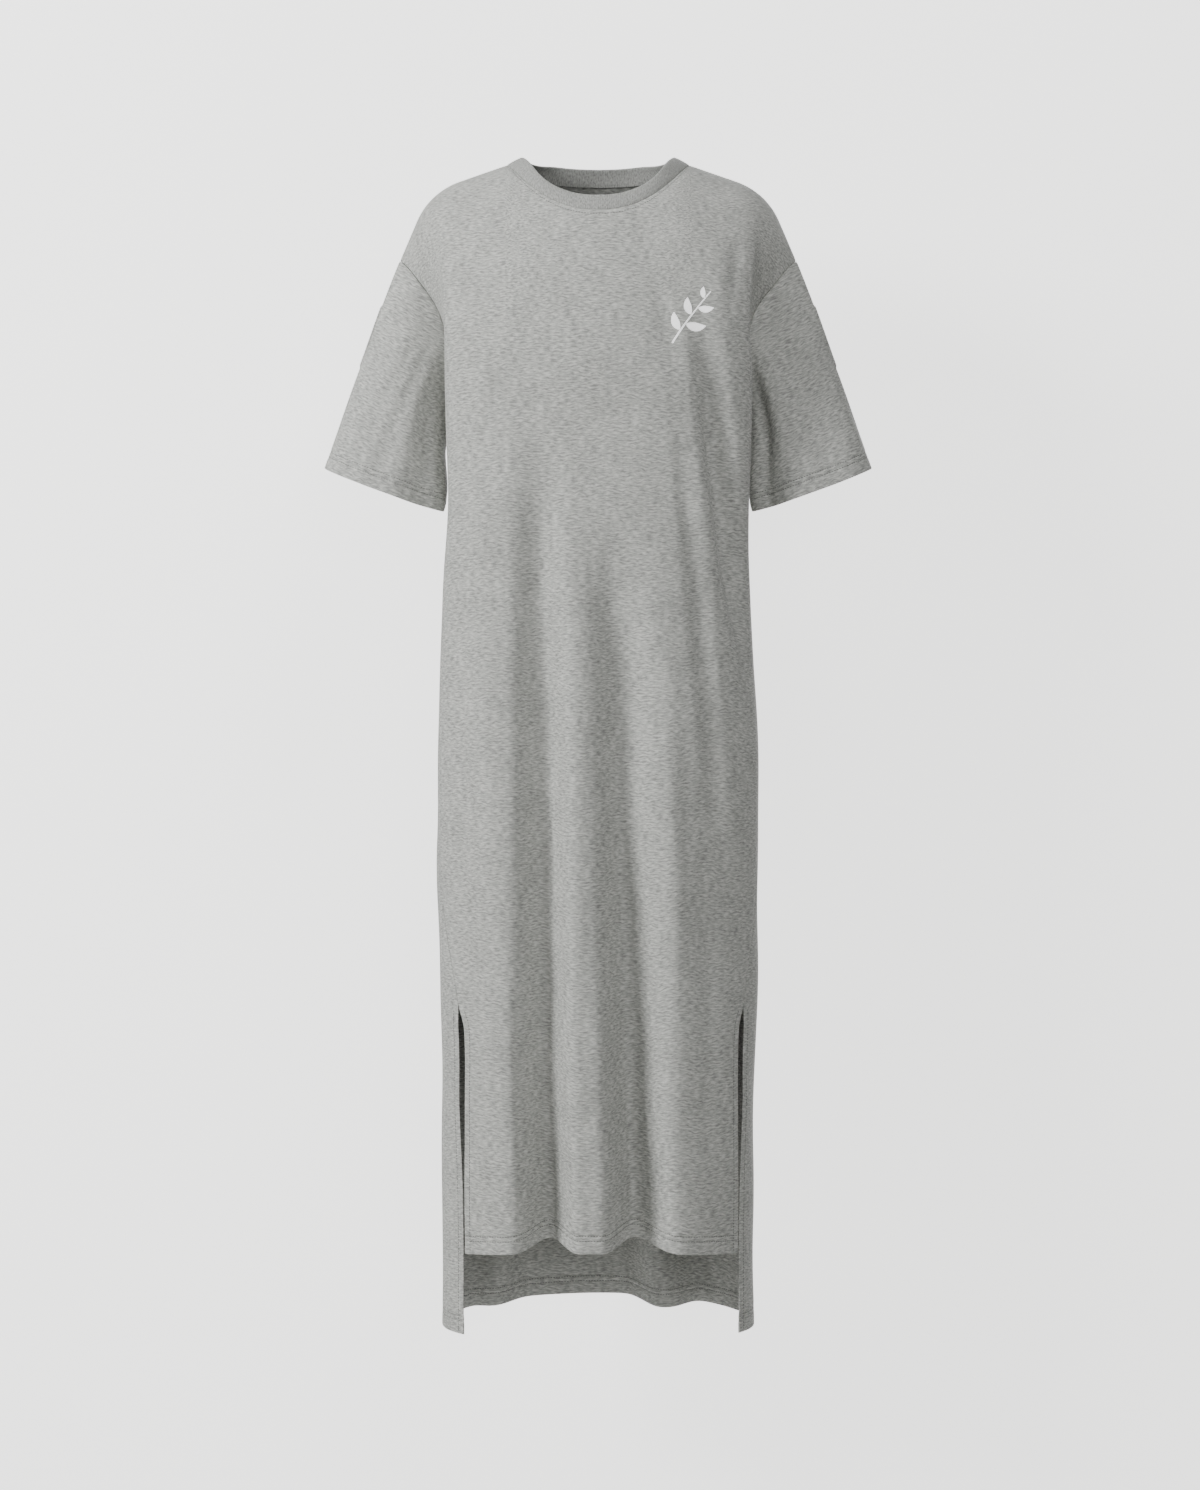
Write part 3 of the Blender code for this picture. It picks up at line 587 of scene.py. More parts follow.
panelMake = {
    "front": {"side": -1, "hem": "frontHemZ", "neckColumns": 31, "shoulderColumns": 33},
    "back": {"side": 1, "hem": "backHemZ", "neckColumns": 27, "shoulderColumns": 33},
}


def clothParts(grid, normals):
    toTop = runLength(grid)
    return {"grid": grid, "normals": normals, "toTop": toTop, "toHem": toTop[-1:] - toTop}


def panelParts(make):
    levels = skirtLevels(bodyForm[make["hem"]])
    shares = panelShares(make["neckColumns"], make["shoulderColumns"])
    grid = panelGrid(make["side"], levels, shares)
    across = runLength(grid, axis=1)
    return {**clothParts(grid, gridNormals(grid, False, bodyAxis)), "levels": levels,
            "toEdges": (across, across[:, -1:] - across),
            "inNeck": np.abs(shares) <= yokeForm["neckPointShare"] + 1e-6,
            "slitRow": len(topSteps) + int(np.sum(levels >= bodyForm["slitTopZ"]))}


def panelWall(name, panel, material):
    grid, normals, levels = panel["grid"], panel["normals"], panel["levels"]
    points = grid.copy()
    halfGap = clothWall["seamGap"] / 2
    points[0] = setBack(grid[0], grid[1], normals[0], halfGap)
    seam = slice(0, panel["slitRow"])
    for edge, beside in ((0, 1), (-1, -2)):
        points[seam, edge] = setBack(points[seam, edge], points[seam, beside], normals[seam, edge], halfGap)

    toTop, toHem, toEdge = panel["toTop"], panel["toHem"], np.minimum(*panel["toEdges"])
    isSeam = (np.arange(len(grid)) < panel["slitRow"])[:, None]
    sink = dip(np.where(isSeam, toEdge, 1), "seam") + dip(toTop, "seam")
    sink = sink + dip(toTop - neckMake["stitchBelow"], "stitch") * panel["inNeck"][None, :]
    groove = hemGrooves(toHem)
    pinch = np.maximum(edgePinch(toHem), np.where(isSeam, 0, edgePinch(toEdge)))
    thick = np.concatenate([np.full(len(topSteps), clothWall["jersey"]), hemThickness(levels - levels[-1])])
    innerSink = clothWall["innerDipShare"] * sink * (toTop < clothWall["innerDipSpan"])
    panel["outer"] = points - normals * (sink + groove + pinch)[..., None]
    panel["inner"] = points - normals * (thick[:, None] - pinch - groove + innerSink)[..., None]
    return wallPiece(name, panel["outer"], panel["inner"], False, material, len(topSteps))


# Sleeves

sleeveMake = {
    "cuffOuter": (0.2925, 0.005, -0.3190),
    "cuffInner": (0.1640, 0.005, -0.3660),
    "cuffHalfDepth": 0.046,
    "cuffTilt": 0.0060,
    "cuffRoundness": 2.2,
    "underarmSpread": 0.010,
    "outerBow": 0.004,
    "rows": 46,
    "nearSeam": (0.0, 0.0008, 0.0018, 0.0032, 0.0055),
    "foldsFrom": 0.6,  # share of the way down at which folds, creases and waves are full
    "creasesFrom": 0.35,
    "wavesFrom": 0.3,
    "waveShare": 0.6,
}
# turn at the top and at the cuff in degrees, depth in mm and reach in degrees: 0 is the upper line,
# 90 the front and 180 the underarm
leftSleeveFolds = (
    (56, 72, 3, 30),
    (118, 138, 6, 34),
    (252, 236, 6, 36),
)
rightSleeveFolds = (
    (106, 130, 8, 34),
    (240, 222, 5.5, 34),
)
leftSleeveCreases = (
    (98, 108, -1.4, 16),
    (140, 160, 1, 14),
    (124, 142, 3.2, 20),
    (30, 24, -1.6, 16),
    (80, 92, -1.2, 12),
    (224, 200, 1.6, 12),
    (280, 290, 1.8, 16),
)
rightSleeveCreases = (
    (78, 84, 1.8, 14),
    (136, 158, 1, 14),
    (50, 44, -1.4, 14),
    (216, 192, 1.6, 12),
    (276, 268, 2, 16),
)


def sleeveGrid(frontEdge, backEdge, folds, creases):
    make = sleeveMake
    loop = np.concatenate([frontEdge, backEdge[-2:0:-1]])
    along = runLength(np.concatenate([loop, loop[:1]]))
    half = len(frontEdge) - 1
    frontShare = along[: half + 1] / along[half]
    backShare = (along[half:-1] - along[half]) / (along[-1] - along[half])
    turn = math.pi * np.concatenate([frontShare, 1 + backShare[1:]])
    outer, inner = np.array(make["cuffOuter"]), np.array(make["cuffInner"])
    centre, halfWidth = (outer + inner) / 2, (outer - inner) / 2
    power = 2 / make["cuffRoundness"]
    wide, deep = signedPower(np.cos(turn), power), signedPower(np.sin(turn), power)
    forward = np.array([0, -make["cuffHalfDepth"], -make["cuffTilt"]])
    cuff = centre + wide[:, None] * halfWidth + deep[:, None] * forward
    arm = unit(np.array([halfWidth[2], 0, -halfWidth[0]]))
    run = np.linalg.norm(cuff - loop, axis=1)[:, None]
    nearSeam = np.array(make["nearSeam"]) / np.mean(run)
    atHem = 1 - hemHeights / np.mean(run)
    shares = np.concatenate([nearSeam, np.linspace(nearSeam[-1], atHem[0], make["rows"])[1:-1], atHem])
    under = (1 - np.cos(turn))[:, None] / 2
    spread = make["underarmSpread"] * under + make["outerBow"] * (1 - under)
    handle = loop + arm * run / 3 + np.array([1, 0, 0]) * spread
    plain = np.stack([bezier(loop, handle, cuff - arm * run / 3, cuff, share) for share in shares])
    down = shares[:, None]
    uneven = make["waveShare"] * waves(plain[..., 0] + plain[..., 1], plain[..., 2])
    pushed = uneven * smoothStep(down, 0, make["wavesFrom"])
    for table, fade in ((folds, make["foldsFrom"]), (creases, make["creasesFrom"])):
        for topTurn, cuffTurn, depth, reach in table:
            offset = turn - np.radians(topTurn + (cuffTurn - topTurn) * down)
            hump = bump(offset, math.radians(reach), math.radians(reach))
            pushed = pushed + depth / 1000 * smoothStep(down, 0, fade) * hump
    return plain - gridNormals(plain, True, plain.mean(axis=(0, 1))) * pushed[..., None]


# edge is the panels' column at the armhole, -1 on the left and 0 on the right
def sleeveParts(edge, folds, creases, front, back):
    topRows = len(topSteps)
    frontEdge, backEdge = front["grid"][:topRows, edge], back["grid"][:topRows, edge]
    toLeft = np.array([-1 if edge == 0 else 1, 1, 1])
    grid = sleeveGrid(frontEdge * toLeft, backEdge * toLeft, folds, creases) * toLeft
    normals = gridNormals(grid, True, grid.mean(axis=(0, 1)))
    ring = normals[0].copy()
    frontNormals, backNormals = front["normals"], back["normals"]
    atFront = unit(ring[:topRows] + frontNormals[:topRows, edge])
    atBack = unit(np.concatenate([ring[:1], ring[:topRows - 2:-1]]) + backNormals[:topRows, edge])
    atTop = unit(frontNormals[0, edge] + backNormals[0, edge] + 2 * ring[0])
    atUnderarm = unit(frontNormals[topRows - 1, edge] + ring[topRows - 1])
    for seamNormals in (atFront, atBack):
        seamNormals[0], seamNormals[-1] = atTop, atUnderarm
    frontNormals[:topRows, edge], backNormals[:topRows, edge] = atFront, atBack
    normals[0] = np.concatenate([atFront, atBack[-2:0:-1]])
    return clothParts(grid, normals)


def sleeveWall(name, sleeve, material):
    grid, normals = sleeve["grid"], sleeve["normals"]
    points = grid.copy()
    down = (grid[0, :, 2].max() - grid[0, :, 2:]) / np.ptp(grid[0, :, 2])
    widening = (clothWall["underarmGap"] - clothWall["sleeveGap"]) * smoothStep(down, 0.5, 1.0)
    gap = clothWall["sleeveGap"] + widening - clothWall["seamGap"] / 2
    points[0] = setBack(grid[0], grid[1], normals[0], gap)
    toHem = sleeve["toHem"]
    sink = dip(sleeve["toTop"], "seam") + hemGrooves(toHem)
    pinch = edgePinch(toHem)
    sleeve["outer"] = points - normals * (sink + pinch)[..., None]
    inner = points - normals * (hemThickness(toHem) - pinch)[..., None]
    return wallPiece(name, sleeve["outer"], inner, True, material, len(grid) - 1)


# Neck rib

neckMake = {
    "height": 0.0185,
    "thick": 0.0024,
    "leanIn": 0.035,
    "leanPower": 5.0,  # keeps the lean to the sides, so that the opening stays round
    "leanSide": 0.009,
    "bow": 0.0006,
    "seamDip": 0.0004,
    "seamReach": 0.0016,
    "uprightBy": 0.35,  # share of its height at which the rib has turned to its own lean
    "inside": (0.0, 0.0, -0.12),
    "stitchBelow": 0.0052,
    "heights": (0.0, 0.03, 0.08, 0.18, 0.35, 0.52, 0.70, 0.84),
    "roundingTurns": (18, 36, 54, 72, 90),
}


def neckSeam(front, back):
    frontSeam, backSeam = (panel["grid"][0][panel["inNeck"]] for panel in (front, back))
    return np.concatenate([frontSeam, backSeam[-2:0:-1]])


def neckNormals(seam):
    along = unit(np.roll(seam, -1, axis=0) - np.roll(seam, 1, axis=0))
    away = unit(seam - np.array(neckMake["inside"]))
    return unit(away - np.sum(away * along, axis=1, keepdims=True) * along)


def shareTopNormals(front, back, ring):
    count = int(np.sum(front["inNeck"]))
    atBack = np.concatenate([ring[:1], ring[:count - 1:-1], ring[count - 1:count]])
    for panel, atNeck in ((front, ring[:count]), (back, atBack)):
        alongX, _, alongZ = unit(np.gradient(panel["grid"][0], axis=0)).T
        up = np.stack([-alongZ * np.sign(alongX), np.zeros(len(alongX)), np.abs(alongX)], axis=1)
        shoulder = ~panel["inNeck"]
        shoulder[[0, -1]] = False
        panel["normals"][0][shoulder] = unit(up[shoulder])
        panel["normals"][0][panel["inNeck"]] = atNeck


def ribPiece(name, seam, seamNormals, material):
    make = neckMake
    away = unit(seam[:, :2] / np.array([yokeForm["neckHalfWidth"], -seam[:, 1].min()]))
    leanIn = signedPower(away[:, 0], make["leanPower"]) * make["leanIn"]
    height = np.full(len(seam), make["height"])
    rise = unit(np.stack([-leanIn, -away[:, 1] * make["leanSide"], height], axis=1))
    normals = unit(seamNormals - np.sum(seamNormals * rise, axis=1, keepdims=True) * rise)
    base = seam + rise * clothWall["seamGap"] / 2
    half = make["thick"] / 2
    outer = [(up, 0.0) for up in make["heights"]]
    for turn in np.radians(make["roundingTurns"]):
        outer.append((1 - half / make["height"] * (1 - math.sin(turn)), half * (1 - math.cos(turn))))
    rows = []
    for up, deep in outer + [(up, make["thick"] - deep) for up, deep in outer[-2::-1]]:
        fall = 4 * up * (1 - up) * make["bow"]
        if deep <= half:
            fall -= make["seamDip"] * math.exp(-((up * make["height"] / make["seamReach"]) ** 2))
        blend = smoothStep(np.array(up), 0, make["uprightBy"])
        outward = unit(seamNormals * (1 - blend) + normals * blend)
        rows.append(base + rise * make["height"] * up + outward * (fall - deep))
    rings = np.stack(rows)
    index = np.arange(rings[..., 0].size).reshape(rings.shape[:2])
    below, right = np.roll(index, -1, axis=0), np.roll(index, -1, axis=1)
    faces = quads(index, below, np.roll(below, -1, axis=1), right)
    closedRing = np.concatenate([rings, rings[:1]], axis=0)
    closedRing = np.concatenate([closedRing, closedRing[:, :1]], axis=1)
    across, down = runLength(closedRing, axis=1), runLength(closedRing)
    across = np.broadcast_to(across.mean(axis=0)[None, :], across.shape)
    cells = gridFaces(np.arange(across.size).reshape(across.shape))
    uvs = np.stack([across.ravel()[cells], down.ravel()[cells]], axis=-1)
    return closedPiece(name, rings.reshape(-1, 3), faces, uvs, material)


# Stitches, as short thread capsules along a line on the cloth

threadMake = {
    "radius": 0.00038,  # thicker than sewn, so that the rows show
    "length": 0.0024,
    "pitch": 0.0030,
    "proud": 0.00008,
    "sides": 6,
    "aheadBy": 0.0005,
    "ends": (-0.5, -0.34, 0.0, 0.34, 0.5),  # shares of the length, with the width and height of each
    "widths": (0.35, 0.85, 1.0, 0.85, 0.35),
    "heights": (-0.00030, -0.00006, 0.0, -0.00006, -0.00030),
}


def pointsAt(at, run, points):
    return np.array([np.interp(at, run, points[:, axis]) for axis in range(3)]).T


# the line where each column's distance reaches the given one
def lineAcross(grid, normals, distances, at):
    points, ups = [], []
    for k in range(grid.shape[1]):
        order = np.argsort(distances[:, k])
        run = distances[order, k]
        points.append(pointsAt(at, run, grid[order, k]))
        ups.append(pointsAt(at, run, normals[order, k]))
    return np.array(points), unit(np.array(ups))


def stitchPiece(name, lines, material):
    make = threadMake
    centres, alongs, ups = [], [], []
    for points, normals, closed in lines:
        if closed:
            points, normals = (np.concatenate([ring, ring[:1]]) for ring in (points, normals))
        run = runLength(points)
        count = int(run[-1] / make["pitch"])
        stations = (np.arange(count) + 0.5) / count * run[-1]
        ahead = pointsAt(stations + make["aheadBy"], run, points)
        behind = pointsAt(stations - make["aheadBy"], run, points)
        up = unit(pointsAt(stations, run, normals))
        centres.append(pointsAt(stations, run, points) + up * make["proud"])
        alongs.append(unit(ahead - behind))
        ups.append(up)
    centre, along, up = np.concatenate(centres), np.concatenate(alongs), np.concatenate(ups)
    beside = unit(np.cross(along, up))
    up = unit(np.cross(beside, along))
    centre, along, beside, up = (vectors[:, None, None] for vectors in (centre, along, beside, up))
    ends = np.array(make["ends"])[:, None, None] * make["length"]
    heights = np.array(make["heights"])[:, None, None]
    widths = np.array(make["widths"])[:, None] * make["radius"]
    angles = np.arange(make["sides"]) / make["sides"] * math.tau
    rings = (centre + along * ends + up * heights + beside * (widths * np.cos(angles))[..., None]
             + up * (widths * np.sin(angles))[..., None])
    index = np.arange(rings[..., 0].size).reshape(rings.shape[:3])
    right = np.roll(index, -1, axis=2)
    faces = quads(index[:, :-1], right[:, :-1], right[:, 1:], index[:, 1:]).tolist()
    faces += index[:, 0, ::-1].tolist() + index[:, -1].tolist()
    return meshPiece(name, rings.reshape(-1, 3).tolist(), faces, material)


# Materials

def toLinear(hexColour):
    parts = [int(hexColour[k:k + 2], 16) / 255 for k in (1, 3, 5)]
    return (*[p / 12.92 if p <= 0.04045 else ((p + 0.055) / 1.055) ** 2.4 for p in parts], 1)


# a setting that is another node's output is linked
def addNode(tree, kind, settings=None):
    node = tree.nodes.new(kind)
    for name, value in (settings or {}).items():
        if isinstance(value, bpy.types.NodeSocket):
            tree.links.new(value, node.inputs[name])
        elif isinstance(name, str) and hasattr(node, name):
            setattr(node, name, value)
        else:
            node.inputs[name].default_value = value
    return node


def newMaterial(name, settings):
    material = bpy.data.materials.new(name)
    material.use_nodes = True
    tree = material.node_tree
    shader = tree.nodes["Principled BSDF"]
    for socket, value in settings.items():
        shader.inputs[socket].default_value = value
    return material, tree, shader


def addVector(tree, operation, first, second):
    return addNode(tree, "ShaderNodeVectorMath", {"operation": operation, 0: first, 1: second}).outputs[0]


# value times factor, plus another value
def addSum(tree, value, factor, plus):
    settings = {"operation": "MULTIPLY_ADD", 0: value, 1: factor, 2: plus}
    return addNode(tree, "ShaderNodeMath", settings).outputs[0]


# noise whose grains are size mm across
def addNoise(tree, place, size, detail, roughness=0.5):
    return addNode(tree, "ShaderNodeTexNoise", {"Vector": place, "Scale": 1000 / size, "Detail": detail,
                                                "Roughness": roughness}).outputs


# the same with grains of another size, in mm, along the courses than across them
def addStreaks(tree, place, across, down, detail, roughness):
    scale = (1000 / across, 1000 / down, 1)
    laid = addNode(tree, "ShaderNodeMapping", {"Vector": place, "Scale": scale})
    return addNoise(tree, laid.outputs[0], 1000, detail, roughness)["Fac"]


# each shade is a place on the ramp and a colour
def addRamp(tree, shader, share, low, high, *between):
    ramp = addNode(tree, "ShaderNodeValToRGB", {"Fac": share})
    elements = ramp.color_ramp.elements
    for element, (place, colour) in zip(elements, (low, high)):
        element.position, element.color = place, toLinear(colour)
    for place, colour in between:
        elements.new(place).color = toLinear(colour)
    tree.links.new(ramp.outputs["Color"], shader.inputs["Base Color"])


def addBump(tree, shader, height, strength, distance):
    raised = addNode(tree, "ShaderNodeBump", {"Height": height, "Strength": strength, "Distance": distance})
    tree.links.new(raised.outputs["Normal"], shader.inputs["Normal"])


knitShine = {"IOR": 1.46, "Sheen Roughness": 0.45, "Specular IOR Level": 0.25}
jerseyLook = {
    "darkFibre": "#8a8b88",
    "lightFibre": "#cacbc6",
    "meanShade": "#a7a8a4",
    "streakLength": 7.0,  # mm along a course
    "streakHeight": 1.6,  # mm, drawn taller than a course so that it shows
    "wander": 4.0,  # mm that the streaks drift up and down
    "wanderOver": 9.0,  # mm from one drift to the next
    "cloud": 26.0,  # mm across a slow change of shade
    "fuzz": 0.55,  # mm
    "bump": 0.00022,
}


# Single jersey knitted from melange yarn, brushed by washing: matt, with short pale and dark
# streaks along the courses, a soft fuzz at the edges and no gloss.
def makeJersey(name, look):
    material, tree, shader = newMaterial(name, {**knitShine, "Roughness": 0.92, "Sheen Weight": 0.10})
    cloth = addNode(tree, "ShaderNodeUVMap", {"uv_map": "cloth"}).outputs["UV"]
    drift = addNoise(tree, cloth, look["wanderOver"], 1.0)["Color"]
    wander = look["wander"] / 1000
    shift = addVector(tree, "MULTIPLY", addVector(tree, "SUBTRACT", drift, (0.5, 0.5, 0.5)),
                      (wander / 2, wander, 0))
    streaks = addStreaks(tree, addVector(tree, "ADD", cloth, shift), look["streakLength"],
                         look["streakHeight"], 2.5, 0.55)
    clouds = addNoise(tree, cloth, look["cloud"], 2.0)["Fac"]
    fuzz = addNoise(tree, cloth, look["fuzz"], 1.0)["Fac"]
    withCloud = addSum(tree, clouds, 0.14, addSum(tree, streaks, 0.80, -0.02))
    addRamp(tree, shader, addSum(tree, fuzz, 0.14, withCloud), (0.38, look["darkFibre"]),
            (0.65, look["lightFibre"]), (0.50, look["meanShade"]))
    addBump(tree, shader, addSum(tree, fuzz, 0.35, streaks), 0.55, look["bump"] * 2)
    return material


ribLook = {
    "darkFibre": "#7b7c79",
    "lightFibre": "#b7b8b4",
    "ribPitch": 1.9,  # mm from one rib to the next, drawn a little coarser than knitted so that it shows
    "ribDepth": 0.00030,
    "yarnWidth": 1.6,  # mm
    "yarnLength": 3.0,  # mm
}


# One-by-one rib from the same yarn: upright ribs close together, matt, a shade denser than the jersey.
def makeRib(name, look):
    material, tree, shader = newMaterial(name, {**knitShine, "Roughness": 0.93, "Sheen Weight": 0.16})
    cloth = addNode(tree, "ShaderNodeUVMap", {"uv_map": "cloth"}).outputs["UV"]
    waveScale = 1000 / look["ribPitch"] * math.tau / 20  # the wave texture's own unit
    ribs = addNode(tree, "ShaderNodeTexWave", {
        "Vector": cloth, "wave_type": "BANDS", "bands_direction": "X", "wave_profile": "SIN",
        "Scale": waveScale, "Distortion": 0.6, "Detail": 1.0}).outputs["Fac"]
    yarn = addStreaks(tree, cloth, look["yarnWidth"], look["yarnLength"], 3.0, 0.6)
    # the rib wave also lightens the colour on the crests and darkens it in the hollows between ribs: painted
    # shade
    addRamp(tree, shader, addSum(tree, ribs, 0.12, yarn),
            (0.34, look["darkFibre"]), (0.80, look["lightFibre"]))
    addBump(tree, shader, ribs, 0.5, look["ribDepth"])
    return material


threadShadowLook = {
    # painted shade: both colours are darker than the cloth so that the stitches show as shadowed lines
    "pale": "#747672",
    "dark": "#565854",
    "twist": 0.5,  # mm
}


# Spun polyester sewing thread: a faint satin line, twisted. Its colour is painted shade, much darker than the
# cloth so that the stitch rows read as shadowed lines, and random darker spots are painted shade for the
# twist's hollows.
def makeThread(name, look):
    material, tree, shader = newMaterial(name, {"Roughness": 0.6, "IOR": 1.5, "Sheen Weight": 0.1})
    place = addNode(tree, "ShaderNodeTexCoord").outputs["Object"]
    twist = addNoise(tree, place, look["twist"], 1.0)["Fac"]
    addRamp(tree, shader, twist, (0.0, look["dark"]), (1.0, look["pale"]))
    return material


printLook = {
    "white": "#ffffff",
    "worn": "#f4f4f2",
    "grain": 0.9,  # mm
    "glow": 0.7,  # painted light: the ink glows though it is no lamp, so that its white stands above the cloth's
}


# Water-based screen print in white: matt, lying in the knit, so that its shade breaks up slightly along the
# loops. A glow, painted light, lifts its white above what the lamps give.
def makePrint(name, look):
    material, tree, shader = newMaterial(name, {"Roughness": 0.75, "IOR": 1.48, "Specular IOR Level": 0.3,
                                                "Emission Color": toLinear(look["white"]),
                                                "Emission Strength": look["glow"]})
    place = addNode(tree, "ShaderNodeTexCoord").outputs["Object"]
    grain = addNoise(tree, place, look["grain"], 2.0)["Fac"]
    addRamp(tree, shader, grain, (0.3, look["worn"]), (0.55, look["white"]))
    return material


# Printed sprig on the chest, on the wearer's left: a stem with leaves to both sides

sprigMake = {
    "centre": (0.0950, -0.1750),
    "stem": ((-0.019, -0.028), (-0.008, -0.010), (0.004, 0.006), (0.021, 0.027)),
    "stemWidth": (0.0010, 0.0019),
    "proud": 0.00022,
    "leafHalfWidth": 0.0042,
    "leafLength": 0.019,  # of a leaf that has this half width
    "leafGap": 0.0012,
    "leafCurl": 0.10,
    "thinnest": 0.0003,
    "strands": (-0.5, -0.25, 0.0, 0.25, 0.5),
}
# where each leaf leaves the stem, its turn from the stem in degrees and its length
sprigLeaves = (
    (0.24, 52, 0.0190),
    (0.38, -58, 0.0205),
    (0.55, 48, 0.0180),
    (0.70, -50, 0.0160),
    (0.86, 40, 0.0120),
)


def sprigStrokes(make):
    handles = [np.array(point) for point in make["stem"]]
    t = np.linspace(0, 1, 40)
    tip, foot = make["stemWidth"]
    strokes = [(bezier(*handles, t[:, None]), tip + (foot - tip) * (1 - t))]
    s = np.linspace(0, 1, 26)
    for at, turn, length in sprigLeaves:
        root = bezier(*handles, at)
        ahead = unit(bezier(*handles, at + 0.01) - root)
        cos, sin = math.cos(math.radians(turn)), math.sin(math.radians(turn))
        way = np.array([ahead[0] * cos - ahead[1] * sin, ahead[0] * sin + ahead[1] * cos])
        curl = make["leafCurl"] * length * np.sin(math.pi * s) * math.copysign(1, turn)
        spine = root + way * (make["leafGap"] + length * s)[:, None]
        spine = spine + np.array([-way[1], way[0]]) * curl[:, None]
        body = np.sin(math.pi * s ** 0.85) ** 0.8 * make["leafHalfWidth"] * length / make["leafLength"]
        strokes.append((spine, np.maximum(2 * body, make["thinnest"])))
    return strokes


# the strokes are laid on the front's outer face, along -Y
def sprigPiece(name, make, front, material):
    grid = front["outer"]
    index = np.arange(grid[..., 0].size).reshape(grid.shape[:2])
    tree = BVHTree.FromPolygons([Vector(p) for p in grid.reshape(-1, 3)], gridFaces(index).tolist())
    points, faces = [], []
    for spine, widths in sprigStrokes(make):
        along = unit(np.gradient(spine, axis=0))
        beside = np.stack([-along[:, 1], along[:, 0]], axis=1)
        strip = np.arange(len(make["strands"]) * len(spine)).reshape(len(make["strands"]), -1)
        faces += gridFaces(strip + len(points))[:, turnedOver].tolist()
        for side in make["strands"]:
            for x, z in spine + beside * (widths * side)[:, None] + np.array(make["centre"]):
                spot = tree.ray_cast(Vector((x, -1.0, z)), Vector((0, 1, 0)))[0]
                points.append((spot.x, spot.y - make["proud"], spot.z))
    return meshPiece(name, points, faces, material)


# Making the dress

jersey = makeJersey("heatherJerseyKnit", jerseyLook)
rib = makeRib("heatherRibKnit", ribLook)
thread = makeThread("spunThreadPaintedShade", threadShadowLook)
whitePrint = makePrint("whiteScreenPrint", printLook)
print("materials made")

front, back = panelParts(panelMake["front"]), panelParts(panelMake["back"])
sideRows = slice(len(topSteps) - 1, front["slitRow"])
for edge in (0, -1):
    sideNormals = unit(front["normals"][sideRows, edge] + back["normals"][sideRows, edge])
    front["normals"][sideRows, edge] = sideNormals
    back["normals"][sideRows, edge] = sideNormals
print("panels shaped")

leftSleeve = sleeveParts(-1, leftSleeveFolds, leftSleeveCreases, front, back)
rightSleeve = sleeveParts(0, rightSleeveFolds, rightSleeveCreases, front, back)
sleevePieces = {
    "sleeve_left": sleeveWall("dress_sleeve_left", leftSleeve, jersey),
    "sleeve_right": sleeveWall("dress_sleeve_right", rightSleeve, jersey),
}
print("sleeves made")

seam = neckSeam(front, back)
ribPieceMade = ribPiece("dress_neck_rib", seam, neckNormals(seam), rib)
shareTopNormals(front, back, neckNormals(seam))
frontPiece = panelWall("dress_front", front, jersey)
backPiece = panelWall("dress_back", back, jersey)
print("panels and neck rib made")


stitchPlace = {
    "hemRows": slice(-30, None),  # rows of a grid among which each line of stitches lies
    "neckRows": slice(0, 12),
    "hemEnds": slice(4, -4),  # leaves out the columns at a slit's rounded edge
    "slitEnd": -4,
    "slitIn": 0.0075,  # from the slit's edge to its line of stitches
}


def hemLines(piece, closed, inside=False):
    rows, facing = stitchPlace["hemRows"], -1 if inside else 1
    grid, normals = piece["inner" if inside else "outer"][rows], facing * piece["normals"][rows]
    ends = slice(None) if closed else stitchPlace["hemEnds"]
    lines = []
    for height in hemStitchLines:
        points, ups = lineAcross(grid, normals, piece["toHem"][rows], height)
        lines.append((points[ends], ups[ends], closed))
    return lines


def neckLine(panel):
    rows = stitchPlace["neckRows"]
    tables = (panel[key][rows][:, panel["inNeck"]] for key in ("outer", "normals", "toTop"))
    return (*lineAcross(*tables, neckMake["stitchBelow"]), False)


def slitLines(panel):
    rows = slice(panel["slitRow"], stitchPlace["slitEnd"])
    grid, normals = (panel[key][rows].transpose(1, 0, 2) for key in ("outer", "normals"))
    return [(*lineAcross(grid, normals, toEdge[rows].T, stitchPlace["slitIn"]), False)
            for toEdge in panel["toEdges"]]


stitching = {}
for half, panel in (("front", front), ("back", back)):
    places = {"hem": hemLines(panel, False) + hemLines(panel, False, True), "slits": slitLines(panel),
              "neck": [neckLine(panel)]}
    stitching[half + "_panel"] = [stitchPiece(f"stitches_{half}_{place}", lines, thread)
                                  for place, lines in places.items()]
for hand, sleeve in (("left", leftSleeve), ("right", rightSleeve)):
    stitching["sleeve_" + hand] = [stitchPiece(f"stitches_{hand}_cuff", hemLines(sleeve, True), thread)]
sprig = sprigPiece("chest_sprig_print", sprigMake, front, whitePrint)
print("stitches and print made")

# how each piece was cut: flat width and length, and the area that its shape leaves of that
cuts = {
    "front_panel": {"piece": frontPiece, "flat": (0.50, 1.22), "area": 0.535, "slot": "front_jersey"},
    "back_panel": {"piece": backPiece, "flat": (0.60, 1.31), "area": 0.640, "slot": "back_jersey"},
    "sleeve_left": {"piece": sleevePieces["sleeve_left"], "flat": (0.46, 0.19), "area": 0.056,
                    "slot": "left_sleeve_jersey"},
    "sleeve_right": {"piece": sleevePieces["sleeve_right"], "flat": (0.46, 0.19), "area": 0.056,
                     "slot": "right_sleeve_jersey"},
    "neck_rib": {"piece": ribPieceMade, "flat": (0.56, 0.020), "area": 0.0112, "slot": "rib_knit"},
}
for node, cut in cuts.items():
    piece = cut["piece"]
    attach(piece, "root")
    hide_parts(node)
    extras = list(stitching.get(node, []))
    if node == "front_panel":
        extras.append(sprig)
    for extra in extras:
        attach(extra, "root")


# Backdrop, floor and lights

